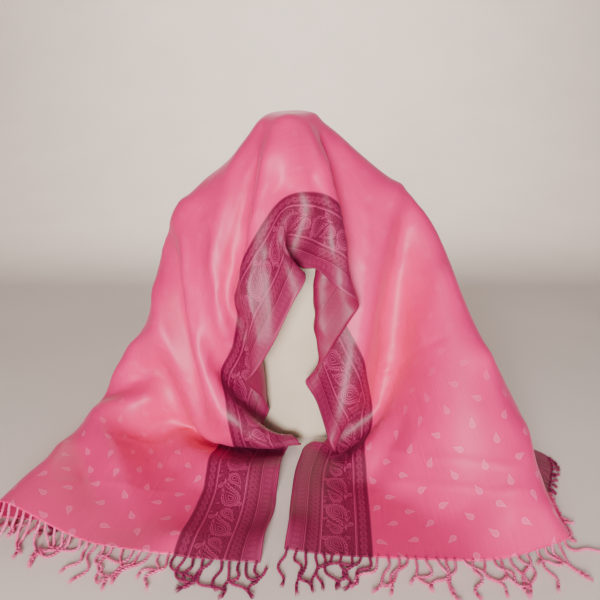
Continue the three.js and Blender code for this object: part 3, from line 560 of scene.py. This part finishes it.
@dataclass
class PackedCloth:
    """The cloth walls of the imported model, read back as one net.

    Each wall is a closed shell over one strip and one stretch: the same net of nodes twice, a wall's
    thickness apart. The net is walked over one side, and the pairs of nodes give the cloth's middle.
    """

    cell: float = 12.5 * MM
    wall: float = 1.2 * MM
    first_corner: tuple[float, float, float] = (-0.0534, -0.3867, 0.0008)
    # Places of the nodes along and across, in cells, as the walls were cut: close over the folds
    rows: dict[str, tuple[int, ...]] = field(default_factory=lambda: {
        "left_end": (0, 3, 6, 9, 12, 16),
        "left_fall": (16, 19, 22, *range(24, 35), *range(36, 49, 2), *range(49, 61), 62, 64),
        "crown": (64, 66, 68, 70, 72, 74, 76, 78, 79, 80),
        "right_fall": (*range(80, 105), 106, 108, *range(110, 125), 126, 128),
        "right_end": (128, 131, 134, 137, 140, 144),
    })
    columns: dict[Strip, tuple[int, ...]] = field(default_factory=lambda: {
        Strip.FRONT: (0, 2, 4, 6, 7, 8, 9, 10),
        Strip.FIELD: (10, 11, 12, 13, 14, 16, 18, 20, 23, 26, 29, 32, 34, 35, 36, 37, 38, 40, 42),
        Strip.REAR: (42, 45, 48, 52),
    })

    def names(self) -> list[str]:
        """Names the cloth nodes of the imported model."""
        return [f"{strip.value}_{stretch}" for stretch in self.rows for strip in self.columns]

    def read(self) -> tuple[np.ndarray, np.ndarray, np.ndarray]:
        """Reads every wall.

        Returns:
            Places along and places across in metres, and the net's points.
        """
        along = sorted({k for places in self.rows.values() for k in places})
        across = sorted({k for places in self.columns.values() for k in places})
        total, count = np.zeros((len(along), len(across), 3)), np.zeros((len(along), len(across), 1))
        row_corner = Vector(self.first_corner)
        for stretch, rows in self.rows.items():
            corner = row_corner
            for strip, columns in self.columns.items():
                net = self.read_wall(f"{strip.value}_{stretch}", len(rows), len(columns), corner)
                i, j = along.index(rows[0]), across.index(columns[0])
                total[i:i + len(rows), j:j + len(columns)] += net
                count[i:i + len(rows), j:j + len(columns)] += 1
                corner = Vector(net[0, -1])
                if strip is Strip.FRONT:
                    row_corner = Vector(net[-1, 0])
        return np.array(along) * self.cell, np.array(across) * self.cell, total / count

    def read_wall(self, name: str, rows: int, columns: int, corner: Vector) -> np.ndarray:
        """Reads one wall's middle net.

        Args:
            name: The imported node.
            rows: Nodes along the shawl.
            columns: Nodes across it.
            corner: Where the net's first node is, within a few millimetres.

        Returns:
            The middle net's points.
        """
        shell = bmesh.new()
        shell.from_mesh(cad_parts[name].data)
        bmesh.ops.remove_doubles(shell, verts=shell.verts, dist=5e-6)
        shell.verts.index_update()
        points = [vertex.co.copy() for vertex in shell.verts]
        faces = [tuple(vertex.index for vertex in face.verts) for face in shell.faces]
        shell.free()
        tree = KDTree(len(points))
        for k, point in enumerate(points):
            tree.insert(point, k)
        tree.balance()
        partner = [
            min((abs(apart - self.wall), k) for _, k, apart in tree.find_range(point, self.wall * 1.3))[1]
            for point in points
        ]
        skin = self.one_side([face for face in faces if not any(partner[k] in face for k in face)])
        ahead = {(a, b) for face in skin for a, b in zip(face, face[1:] + face[:1])}
        after = {a: b for a, b in ahead if (b, a) not in ahead}
        loop = [min(after, key=lambda k: (points[k] - corner).length)]
        while after[loop[-1]] != loop[0]:
            loop.append(after[loop[-1]])
        for way in (loop, loop[:1] + loop[:0:-1]):
            net = self.fill(way, rows, columns, skin)
            if net is not None:
                middle = [[(points[k] + points[partner[k]]) / 2 for k in row] for row in net]
                return np.array(middle, float)
        raise ValueError(f"the wall of {name} isn't a net of {rows} by {columns} nodes")

    @staticmethod
    def one_side(faces: list[tuple[int, int, int]]) -> list[tuple[int, int, int]]:
        """Finds the faces that hang together with the first one.

        Args:
            faces: The vertices of each face.

        Returns:
            Those faces.
        """
        around = defaultdict(list)
        for k, face in enumerate(faces):
            for vertex in face:
                around[vertex].append(k)
        found, waiting = {0}, [0]
        while waiting:
            for vertex in faces[waiting.pop()]:
                fresh = set(around[vertex]) - found
                found |= fresh
                waiting += fresh
        return [faces[k] for k in sorted(found)]

    @staticmethod
    def fill(loop: list[int], rows: int, columns: int,
             skin: list[tuple[int, int, int]]) -> np.ndarray | None:
        """Fills the net inside its rim cell by cell, each a pair of triangles.

        Args:
            loop: The rim's nodes, down the first column first.
            rows: Nodes along.
            columns: Nodes across.
            skin: The triangles of one side of the wall.

        Returns:
            The node at each place, or None where the triangles don't fit such a net.
        """
        if len(loop) != 2 * (rows + columns) - 4:
            return None
        net = np.full((rows, columns), -1)
        corner = rows + columns - 2
        net[:, 0] = loop[:rows]
        net[-1, :] = loop[rows - 1:corner + 1]
        net[::-1, -1] = loop[corner:corner + rows]
        net[0, ::-1] = loop[corner + rows - 1:] + loop[:1]
        free, edges = {frozenset(face) for face in skin}, defaultdict(list)
        for face in free:
            for vertex in face:
                edges[face - {vertex}].append(vertex)
        for i in range(rows - 1):
            for j in range(columns - 1):
                a, b, c = int(net[i, j]), int(net[i, j + 1]), int(net[i + 1, j])
                near = frozenset((a, b, c))
                if near in free:
                    corners = [k for k in edges[frozenset((b, c))] if frozenset((b, c, k)) in free - {near}]
                    pair = [near] + [frozenset((b, c, k)) for k in corners]
                else:
                    corners = [k for k in edges[frozenset((a, b))] if frozenset((a, b, k)) in free]
                    pair = [frozenset((a, b, k)) for k in corners] + [frozenset((a, c, k)) for k in corners]
                if len(corners) != 1 or not all(face in free for face in pair):
                    return None
                if net[i + 1, j + 1] not in (-1, corners[0]):
                    return None
                net[i + 1, j + 1] = corners[0]
                free -= set(pair)
        return net


@dataclass
class Crease:
    """A fold line of the shawl, as a soft ridge or trough along points in the flat cut."""

    points: tuple[tuple[float, float], ...]  # millimetres along and across
    height: float  # less than nothing for a trough
    width: float = 5 * MM

    def lift(self, along: np.ndarray, across: np.ndarray) -> np.ndarray:
        """How far each node stands out.

        Args:
            along: Places along the shawl, in metres.
            across: Places across it.

        Returns:
            The lift in metres, uneven along the line and fading at its ends.
        """
        line = np.array(self.points) * MM
        best, place = np.full(along.shape, 1e9), np.zeros(along.shape)
        total = np.linalg.norm(np.diff(line, axis=0), axis=1).sum()
        run = 0.0
        for start, end in zip(line, line[1:]):
            way = end - start
            size = np.linalg.norm(way)
            share = ((along - start[0]) * way[0] + (across - start[1]) * way[1]) / size ** 2
            share = np.clip(share, 0, 1)
            apart = np.hypot(along - start[0] - share * way[0], across - start[1] - share * way[1])
            place = np.where(apart < best, (run + share * size) / total, place)
            best = np.minimum(best, apart)
            run += size
        uneven = 0.75 + 0.25 * np.sin(place * 17 + self.points[0][1])
        ends = smooth_step(place * 6) * smooth_step((1 - place) * 6)
        return self.height * uneven * ends * np.exp(-(best / self.width) ** 2)


@dataclass
class Drape:
    """The cloth's fine net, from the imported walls' coarse one."""

    cloth: PackedCloth
    thread: float = 0.988  # the drape's own rest length over the flat size
    reach: float = 2.0 * MM  # how far a node may ease from its wall, where layers lie close
    free_reach: float = 4.0 * MM  # the same where the cloth hangs in one layer
    floor: float = 0.7 * MM  # the lowest that the middle of the cloth lies
    steps: int = 70
    creases: tuple[Crease, ...] = (
        # Pressed fold lines, where the shawl lay folded
        Crease(((369, 388), (369, 350), (412, 288), (444, 238)), 2.0 * MM, 4 * MM),
        Crease(((1419, 138), (1442, 183), (1450, 219), (1462, 306), (1462, 350)), -2.2 * MM, 5 * MM),
        Crease(((50, 381), (75, 344), (112, 294), (119, 225), (138, 162)), 1.2 * MM),
        Crease(((1638, 150), (1662, 212), (1688, 275), (1712, 325), (1725, 388)), 1.5 * MM),
        # The soft folds that hang from the neck and the shoulders
        Crease(((719, 294), (738, 269), (729, 242), (696, 221), (678, 198), (660, 172)), 2.6 * MM, 8 * MM),
        Crease(((706, 306), (662, 269), (616, 238), (581, 212), (488, 188)), -2.6 * MM, 14 * MM),
        Crease(((1169, 238), (1171, 254), (1208, 229), (1244, 194)), 2.2 * MM, 8 * MM),
        Crease(((1231, 262), (1317, 292), (1381, 288), (1471, 292), (1556, 294)), 3.0 * MM, 20 * MM),
        Crease(((900, 256), (829, 254), (762, 219), (704, 192)), 1.8 * MM, 8 * MM),
        Crease(((1000, 269), (1008, 179), (1031, 94), (1071, 54)), -1.2 * MM, 7 * MM),
        Crease(((608, 379), (517, 346), (406, 356), (281, 294)), 2.6 * MM, 18 * MM),
        Crease(((1288, 194), (1450, 231), (1571, 246), (1621, 246)), -2.6 * MM, 17 * MM),
        Crease(((1312, 375), (1450, 381), (1583, 383), (1667, 379)), 2.6 * MM, 20 * MM),
        # Where the hanging cloth comes to lie on the table
        Crease(((192, 342), (233, 283), (262, 206), (392, 179)), 1.4 * MM, 6 * MM),
        Crease(((1581, 150), (1625, 231), (1656, 300), (1696, 383)), 1.4 * MM, 6 * MM),
    )
    along: np.ndarray = field(init=False)
    across: np.ndarray = field(init=False)
    net: np.ndarray = field(init=False)

    def __post_init__(self) -> None:
        """Draws the coarse net out to the fine one, then eases and creases it."""
        rows, columns, coarse = self.cloth.read()
        self.along = np.linspace(0, LENGTH, round(LENGTH / THREAD_STEP) + 1)
        self.across = np.linspace(0, WIDTH, round(WIDTH / THREAD_STEP) + 1)
        lengthwise = spline(rows, coarse.reshape(len(rows), -1), self.along)
        lengthwise = lengthwise.reshape(len(self.along), len(columns), 3)
        crosswise = lengthwise.transpose(1, 0, 2).reshape(len(columns), -1)
        fine = spline(columns, crosswise, self.across).reshape(len(self.across), len(self.along), 3)
        self.net = fine.transpose(1, 0, 2).copy()
        self.ease()
        self.press()

    def ease(self) -> None:
        """Lets the threads take their own length again, near the walls and over the floor."""
        home, net = self.net.copy(), self.net
        rest = THREAD_STEP * self.thread
        along, across = np.meshgrid(self.along, self.across, indexing="ij")
        # One layer: away from the pleats of the front edge and from the crown
        free = smooth_step((across - 0.19) / 0.08) * smooth_step((np.abs(along - 0.95) - 0.3) / 0.08)
        reach_of = (self.reach + (self.free_reach - self.reach) * free)[..., None]
        soften = (0.12 + 0.08 * free)[..., None]
        for _ in range(self.steps):
            for reach in (1, 2):
                for axis in (0, 1):
                    for parity in range(2 * reach):
                        self.pull(net, axis, parity, reach, rest * reach, 0.5 if reach == 1 else 0.3)
            smooth = net.copy()
            smooth[1:-1] += soften[1:-1] * (net[2:] + net[:-2] - 2 * net[1:-1])
            smooth[:, 1:-1] += soften[:, 1:-1] * (net[:, 2:] + net[:, :-2] - 2 * net[:, 1:-1])
            net[:] = smooth
            away = net - home
            far = np.linalg.norm(away, axis=2, keepdims=True)
            net[:] = home + away * np.minimum(1, reach_of / np.maximum(far, 1e-9))
            net[..., 2] = np.maximum(net[..., 2], self.floor)

    @staticmethod
    def pull(net: np.ndarray, axis: int, parity: int, reach: int, rest: float, strength: float) -> None:
        """Moves pairs of nodes towards their thread's length.

        Args:
            net: The net, changed in place.
            axis: 0 along the shawl, 1 across it.
            parity: The first pair's place.
            reach: Nodes from one end of a pair to the other.
            rest: The length wanted.
            strength: The share of the error that is taken out.
        """
        turned = net if axis == 0 else net.transpose(1, 0, 2)
        first = turned[parity::2 * reach]
        second = turned[parity + reach::2 * reach]
        first = first[:len(second)]
        way = second - first
        size = np.linalg.norm(way, axis=2, keepdims=True)
        shift = way * (0.5 * strength * (size - rest) / np.maximum(size, 1e-9))
        first += shift
        second -= shift

    def normals(self) -> np.ndarray:
        """Finds the net's unit normals, outwards from the form.

        Returns:
            One for each node.
        """
        across = np.gradient(self.net, axis=1)
        along = np.gradient(self.net, axis=0)
        normal = np.cross(across, along)
        normal /= np.maximum(np.linalg.norm(normal, axis=2, keepdims=True), 1e-12)
        middle = normal[normal.shape[0] // 2, normal.shape[1] // 2]
        return normal if middle[2] > 0 else -normal

    def press(self) -> None:
        """Presses the fold lines into the net."""
        along, across = np.meshgrid(self.along, self.across, indexing="ij")
        lift = sum(crease.lift(along, across) for crease in self.creases)
        self.net += self.normals() * lift[..., None]
        self.net[..., 2] = np.maximum(self.net[..., 2], self.floor)


@dataclass
class Shawl:
    """The woven cloth: one sheet, with a border down each long side."""

    drape: Drape
    thickness: float = 0.5 * MM

    def build(self, materials: dict[tuple[bool, Side], bpy.types.Material]) -> bpy.types.Object:
        """Models the sheet.

        Args:
            materials: The finish for border or field (True or False) on each side.

        Returns:
            The finished sheet.
        """
        deselect_all()
        along, across = len(self.drape.along), len(self.drape.across)
        bpy.ops.mesh.primitive_grid_add(x_subdivisions=along - 1, y_subdivisions=across - 1, size=2)
        sheet = bpy.context.object
        sheet.name = sheet.data.name = "shawl_sheet"
        mesh = sheet.data
        flat = np.zeros(len(mesh.vertices) * 3)
        mesh.vertices.foreach_get("co", flat)
        flat = flat.reshape(-1, 3)
        i = np.rint((flat[:, 0] + 1) / 2 * (along - 1)).astype(int)
        j = np.rint((flat[:, 1] + 1) / 2 * (across - 1)).astype(int)
        mesh.vertices.foreach_set("co", self.drape.net[i, j].astype(np.float32).ravel())
        for layer in list(mesh.uv_layers):
            mesh.uv_layers.remove(layer)
        cut = mesh.uv_layers.new(name="cut")  # metres along and across the flat shawl
        corner = np.zeros(len(mesh.loops), int)
        mesh.loops.foreach_get("vertex_index", corner)
        place = np.stack([self.drape.along[i[corner]], self.drape.across[j[corner]]], axis=1)
        cut.data.foreach_set("uv", place.astype(np.float32).ravel())
        middle = place.reshape(-1, 4, 2).mean(axis=1)
        in_border = (middle[:, 1] < BORDER) | (middle[:, 1] > WIDTH - BORDER)
        mesh.polygons.foreach_set("material_index", in_border.astype(np.int32))
        for side in (Side.FACE, Side.REVERSE):
            for border in (False, True):
                mesh.materials.append(materials[border, side])
        off = np.abs(middle - (LENGTH / 2, WIDTH / 2)).sum(axis=1)
        if mesh.polygons[int(np.argmin(off))].normal.z < 0:
            mesh.flip_normals()
        apply_modifier(sheet, "SOLIDIFY", thickness=self.thickness, offset=0, material_offset=2,
                       use_rim=True, material_offset_rim=0, use_even_offset=False)
        make_active(sheet)
        bpy.ops.object.shade_smooth()
        return sheet


@dataclass
class Tassel:
    """One knotted fringe tassel: two plies twisted together, a knot, and a short open tuft."""

    ply: float = 1.2 * MM  # radius of one ply
    turn: float = 10 * MM  # length of one full twist
    twisted: float = 58 * MM
    knot: float = 2.6 * MM
    tuft: float = 13 * MM
    hairs: int = 7
    sides: int = 5  # of a ply's section
    turn_steps: int = 7
    apart: float = 0.92  # from the tassel's middle to the middle of a ply, in its radii

    def length(self) -> float:
        """The tassel's whole length."""
        return self.twisted + self.tuft

    def build(self) -> bpy.types.Object:
        """Models the tassel straight along +X from the origin.

        Returns:
            The template, to be copied and laid.
        """
        parts = []
        for half in (0, 1):
            deselect_all()
            bpy.ops.mesh.primitive_circle_add(vertices=self.sides, radius=self.ply,
                                              rotation=(0, math.pi / 2, 0))
            ply = newly_placed()
            steps = round(self.twisted / self.turn * self.turn_steps)
            bpy.ops.object.mode_set(mode="EDIT")
            bpy.ops.mesh.select_all(action="SELECT")
            for _ in range(steps):
                bpy.ops.mesh.extrude_region_move(
                    TRANSFORM_OT_translate={"value": (self.twisted / steps, 0, 0)})
            bpy.ops.object.mode_set(mode="OBJECT")
            for vertex in ply.data.vertices:
                angle = math.tau * vertex.co.x / self.turn + half * math.pi
                thin = 1.0 - 0.25 * smooth_step((vertex.co.x / self.twisted - 0.85) / 0.15)
                vertex.co.y = vertex.co.y * thin + self.ply * self.apart * math.cos(angle)
                vertex.co.z = vertex.co.z * thin + self.ply * self.apart * math.sin(angle)
            parts.append(ply)
        deselect_all()
        bpy.ops.mesh.primitive_ico_sphere_add(subdivisions=2, radius=self.knot,
                                              location=(self.twisted, 0, 0))
        knot = newly_placed()
        for vertex in knot.data.vertices:
            wrap = math.sin(math.atan2(vertex.co.z, vertex.co.y) * 2 + (vertex.co.x - self.twisted) * 1400)
            vertex.co.y *= 0.86 + 0.12 * wrap
            vertex.co.z *= 0.86 + 0.12 * wrap
        parts.append(knot)
        for hair in range(self.hairs):
            angle = hair * math.tau / (self.hairs - 1)
            spread = 0.0 if hair == self.hairs - 1 else 1.0  # the last one stands in the middle
            deselect_all()
            bpy.ops.mesh.primitive_cone_add(vertices=4, radius1=0.75 * MM, radius2=0.3 * MM,
                                            depth=self.tuft, rotation=(0, math.pi / 2, 0),
                                            location=(self.twisted + self.tuft / 2, 0, 0))
            lock = newly_placed()
            apply_modifier(lock, "SUBSURF", levels=1, render_levels=1, subdivision_type="SIMPLE")
            for vertex in lock.data.vertices:
                share = max(0.0, (vertex.co.x - self.twisted) / self.tuft)
                out = spread * self.knot * (0.35 + 0.75 * share ** 1.4)
                vertex.co.y += out * math.cos(angle + share * 0.8)
                vertex.co.z += out * math.sin(angle + share * 0.8)
            parts.append(lock)
        template = join(parts, "tassel_template")
        bpy.ops.object.shade_smooth()
        return template


@dataclass
class FringeRange:
    """A range of tassels along one end of the shawl."""

    end: End
    first: float  # place across, in metres
    last: float
    length: float
    turn: tuple[float, float]  # the way on the table that they lean to
    lean: float  # how much they lean


@dataclass
class Fringe:
    """The knotted fringe along both ends, one piece for each strip and end."""

    drape: Drape
    tassel: Tassel
    spacing: float = 13 * MM
    seed: int = 11
    thrown_back: float = 0.16  # share of the left end's tassels that fell back towards the cloth
    ranges: tuple[FringeRange, ...] = (
        FringeRange(End.LEFT, 0, 0.437, 74 * MM, (0, -1), 0.1),
        FringeRange(End.LEFT, 0.437, 0.65, 42 * MM, (0, -1), 0.5),
        FringeRange(End.RIGHT, 0, 0.41, 74 * MM, (0, -1), 0.1),
        FringeRange(End.RIGHT, 0.41, 0.65, 16 * MM, (0.9, -0.4), 0.2),
    )

    def place(self, end: End, across: float) -> tuple[np.ndarray, np.ndarray]:
        """Where the cloth ends.

        Args:
            end: The end of the shawl.
            across: The place across, in metres.

        Returns:
            The point, and the way out of the cloth.
        """
        net = self.drape.net if end is End.LEFT else self.drape.net[::-1]
        j = min(int(across / THREAD_STEP), net.shape[1] - 2)
        share = across / THREAD_STEP - j
        edge = net[0, j] * (1 - share) + net[0, j + 1] * share
        inner = net[6, j] * (1 - share) + net[6, j + 1] * share
        return edge, (edge - inner) / np.linalg.norm(edge - inner)

    def path(self, span: FringeRange, across: float, ground: BVHTree, chance: random.Random,
             length: float) -> np.ndarray:
        """The line that one tassel lies along, a point for each millimetre.

        Args:
            span: The range it is in.
            across: Its place across the cloth.
            ground: The cloth, which a tassel may fall back on.
            chance: The spread of values.
            length: How long the line is.

        Returns:
            The points.
        """
        edge, out = self.place(span.end, across)
        flat = np.array([out[0], out[1]])
        flat /= np.linalg.norm(flat)
        way = flat * (1 - span.lean) + np.array(span.turn) * span.lean
        heading = math.atan2(way[1], way[0]) + chance.gauss(0, 0.16)
        swing, waves = chance.uniform(0.35, 1.0), chance.uniform(0.9, 2.2)
        phase, hook = chance.uniform(0, math.tau), chance.gauss(0, 0.7)
        if chance.random() < self.thrown_back and span.end is End.LEFT:
            hook += chance.choice((-1, 1)) * chance.uniform(1.8, 2.5)
        points = [edge - out * 2.0 * MM + np.array([0, 0, 0.3 * MM])]
        step = 1.0 * MM
        for k in range(1, round(length / step) + 1):
            share = k * step / length
            bend = swing * math.sin(share * waves * math.tau + phase)
            turn = heading + smooth_step(share * 3) * bend + hook * smooth_step(share * 1.4)
            here = points[-1]
            # What lies just beneath, so that a tassel may also pass under an upper layer
            above = Vector((here[0], here[1], here[2] + 4 * MM))
            hit = ground.ray_cast(above, Vector((0, 0, -1)))[0]
            rest = (hit.z if hit is not None and share > 0.12 else 0.0) + self.tassel.ply * 1.95
            drop = float(np.clip((rest - here[2]) * 0.3, -0.85 * step, 0.5 * step))
            level = math.sqrt(step * step - drop * drop)
            points.append(here + np.array([math.cos(turn) * level, math.sin(turn) * level, drop]))
        return np.array(points)

    def build(self, end: End, strip: Strip, sheet: bpy.types.Object, template: bpy.types.Object,
              material: bpy.types.Material) -> bpy.types.Object:
        """Lays the tassels of one strip at one end.

        Args:
            end: The end of the shawl.
            strip: The strip of it.
            sheet: The finished cloth.
            template: The straight tassel.
            material: The yarn.

        Returns:
            The piece of fringe.
        """
        first, last = {Strip.FRONT: (0, BORDER), Strip.FIELD: (BORDER, WIDTH - BORDER),
                       Strip.REAR: (WIDTH - BORDER, WIDTH)}[strip]
        chance = random.Random(f"{self.seed} {end.value} {strip.value}")
        ground = BVHTree.FromObject(sheet, bpy.context.evaluated_depsgraph_get())
        shape = np.array([vertex.co for vertex in template.data.vertices])
        count = round((last - first) / self.spacing)
        laid = []
        for k in range(count):
            across = first + (k + 0.5 + chance.uniform(-0.16, 0.16)) * (last - first) / count
            span = next(one for one in self.ranges if one.end is end and one.first <= across <= one.last)
            stretch = span.length / self.tassel.length() * chance.uniform(0.86, 1.06)
            # The line is longer than the longest tassel
            line = self.path(span, across, ground, chance, span.length * 1.12)
            cord = template.copy()
            cord.data = template.data.copy()
            bpy.context.scene.collection.objects.link(cord)
            roll = chance.uniform(0, math.tau)
            spin = np.clip(shape[:, 0] / (8 * MM), 0, 1) * roll
            y = shape[:, 1] * np.cos(spin) - shape[:, 2] * np.sin(spin)
            z = shape[:, 1] * np.sin(spin) + shape[:, 2] * np.cos(spin)
            at = shape[:, 0] * stretch / MM
            k0 = np.clip(at.astype(int), 0, len(line) - 2)
            tangent = line[k0 + 1] - line[k0]
            tangent /= np.linalg.norm(tangent, axis=1, keepdims=True)
            side = np.cross((0, 0, 1), tangent)
            side /= np.maximum(np.linalg.norm(side, axis=1, keepdims=True), 1e-9)
            up = np.cross(tangent, side)
            points = line[k0] + tangent * ((at - k0) * MM)[:, None] + side * y[:, None] + up * z[:, None]
            points[:, 2] = np.maximum(points[:, 2], 0.15 * MM)
            cord.data.vertices.foreach_set("co", points.astype(np.float32).ravel())
            cord.data.update()
            laid.append(cord)
        piece = join(laid, f"tassels_{end.value}_{strip.value}")
        piece.data.materials.clear()
        piece.data.materials.append(material)
        return piece


@dataclass
class DisplayForm:
    """The moulded shoulder form with its neck, that the shawl rests on."""

    node: str = "display_form"
    base: float = 1.0 * MM  # below this its edges stay sharp

    def build(self, material: bpy.types.Material) -> bpy.types.Object:
        """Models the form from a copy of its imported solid, smoothed.

        Args:
            material: The sprayed finish.

        Returns:
            The finished form.
        """
        deselect_all()
        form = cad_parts[self.node].copy()
        form.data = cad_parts[self.node].data.copy()
        for key in list(form.keys()):
            del form[key]
        form.parent = None
        form.name = form.data.name = "display_form_smooth"
        bpy.context.scene.collection.objects.link(form)
        make_active(form)
        bpy.ops.object.mode_set(mode="EDIT")
        bpy.ops.mesh.select_all(action="SELECT")
        bpy.ops.mesh.remove_doubles(threshold=1e-5)
        flat = math.radians(60)
        bpy.ops.mesh.tris_convert_to_quads(face_threshold=flat, shape_threshold=flat)
        bpy.ops.object.mode_set(mode="OBJECT")
        crease = form.data.attributes.new("crease_edge", "FLOAT", "EDGE")
        height = [vertex.co.z for vertex in form.data.vertices]
        sharp = [float(max(height[k] for k in edge.vertices) < self.base) for edge in form.data.edges]
        crease.data.foreach_set("value", sharp)
        form.data.materials.clear()
        form.data.materials.append(material)
        apply_modifier(form, "SUBSURF", levels=2, render_levels=2)
        make_active(form)
        bpy.ops.object.shade_smooth_by_angle(angle=math.radians(50))
        return form


@dataclass
class Lamp:
    """A soft area lamp."""

    name: str
    place: tuple[float, float, float]
    aim: tuple[float, float, float]
    size: float
    watts: float
    colour: str


@dataclass
class Studio:
    """A plain pale table and background, soft lamps, and the camera where the photograph's was."""

    camera_place: tuple[float, float, float] = (0, -1.0, 0.6)
    pitch: float = 19.8  # degrees down
    lens: float = 34.44
    sweep: float = 2.6  # radius of the paper's curve
    sweep_from: float = 1.6  # how far back it starts
    room_light: float = 0.16
    lamps: tuple[Lamp, ...] = (
        Lamp("key", (-0.3, -2.2, 0.66), (0, -0.1, 0.28), 0.7, 76, "#FFF6F2"),
        Lamp("overhead", (0.1, -0.3, 1.9), (0, 0, 0.3), 1.1, 3, "#FFEBD6"),
        Lamp("fill", (1.5, -1.3, 0.7), (0, 0, 0.25), 1.0, 7, "#F6F4FF"),
        Lamp("rear", (-0.4, 1.7, 1.2), (0, 0, 0.25), 1.2, 6, "#FFF6EC"),
        Lamp("background", (0, 0.9, 2.6), (0, 3.4, 2.5), 2.4, 220, "#FFF1E8"),
    )

    def build(self) -> None:
        """Sets the table, the lamps and the camera."""
        paper = MattPaper("#EBE1DA").finish("matt_paper")
        deselect_all()
        bpy.ops.mesh.primitive_plane_add(size=12)
        table = bpy.context.object
        table.name = "table"
        table.data.materials.append(paper)
        deselect_all()
        # The paper comes up behind the table in one curve
        bpy.ops.mesh.primitive_plane_add(size=12, location=(0, self.sweep_from + 6, 0))
        wall = newly_placed()
        apply_modifier(wall, "SUBSURF", levels=6, render_levels=6, subdivision_type="SIMPLE")
        for vertex in wall.data.vertices:
            run, bend = vertex.co.y - self.sweep_from, self.sweep
            angle = min(run / bend, math.pi / 2)
            rise = max(0.0, run - bend * math.pi / 2)
            vertex.co.y = self.sweep_from + bend * math.sin(angle)
            vertex.co.z = bend * (1 - math.cos(angle)) + rise - 1 * MM  # its near edge is under the table
        make_active(wall)
        bpy.ops.object.shade_smooth()
        wall.name = "background"
        wall.data.materials.append(paper)
        for lamp in self.lamps:
            light = bpy.data.lights.new(lamp.name, "AREA")
            light.energy, light.size, light.color = lamp.watts, lamp.size, linear(lamp.colour)[:3]
            stand = bpy.data.objects.new(lamp.name, light)
            stand.location = lamp.place
            way = Vector(lamp.aim) - Vector(lamp.place)
            stand.rotation_euler = way.to_track_quat("-Z", "Y").to_euler()
            bpy.context.scene.collection.objects.link(stand)
        world = bpy.data.worlds.new("room")
        bpy.context.scene.world = world
        world.use_nodes = True
        background = world.node_tree.nodes["Background"].inputs
        background["Color"].default_value = linear("#D6CEC6")
        background["Strength"].default_value = self.room_light
        camera = bpy.data.objects.new("camera", bpy.data.cameras.new("camera"))
        camera.location = self.camera_place
        camera.rotation_euler = (math.radians(90 - self.pitch), 0, 0)
        camera.data.lens, camera.data.sensor_width = self.lens, 36
        bpy.context.scene.collection.objects.link(camera)
        bpy.context.scene.camera = camera


def main() -> None:
    """Builds every piece in order."""
    logging.basicConfig(level=logging.INFO, format="%(name)s: %(message)s")
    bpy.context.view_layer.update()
    cloth = PackedCloth()
    drape = Drape(cloth)
    log.info("cloth net %s", drape.net.shape)
    group = PaisleyFigure().build()
    silks = {
        False: ("silk_jacquard_field", SilkJacquard(
            "#EC1E7A", "#FA90BC", ("#E83C86", "#CA1866"), "#FFA8CC")),
        True: ("silk_jacquard_border", SilkJacquard(
            "#76043A", "#D04484", ("#94104C", "#62022C"), "#C84A86")),
    }
    materials = {
        (border, side): silk.finish(name, side, WovenFigures(group, border))
        for border, (name, silk) in silks.items() for side in Side
    }
    sheet = Shawl(drape).build(materials)
    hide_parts(*cloth.names())
    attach(sheet, "root")
    log.info("shawl_sheet has %d faces", len(sheet.data.polygons))
    form = DisplayForm().build(SprayedShell().finish("sprayed_gloss_shell"))
    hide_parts("display_form")
    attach(form, "root")
    log.info("display_form_smooth has %d faces", len(form.data.polygons))
    pink = TwistedYarn("#F27CB0", "#D8407E").finish("twisted_silk_yarn_pink")
    magenta = TwistedYarn("#AA2868", "#700A40").finish("twisted_silk_yarn_magenta")
    tassel = Tassel()
    template = tassel.build()
    fringe = Fringe(drape, tassel)
    for end in End:
        for strip in Strip:
            in_field = strip is Strip.FIELD
            piece = fringe.build(end, strip, sheet, template, pink if in_field else magenta)
            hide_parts(f"fringe_{end.value}_{strip.value}")
            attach(piece, "root")
            log.info("%s has %d faces", piece.name, len(piece.data.polygons))
    bpy.data.objects.remove(template)
    Studio().build()


if __name__ == "__main__":
    main()
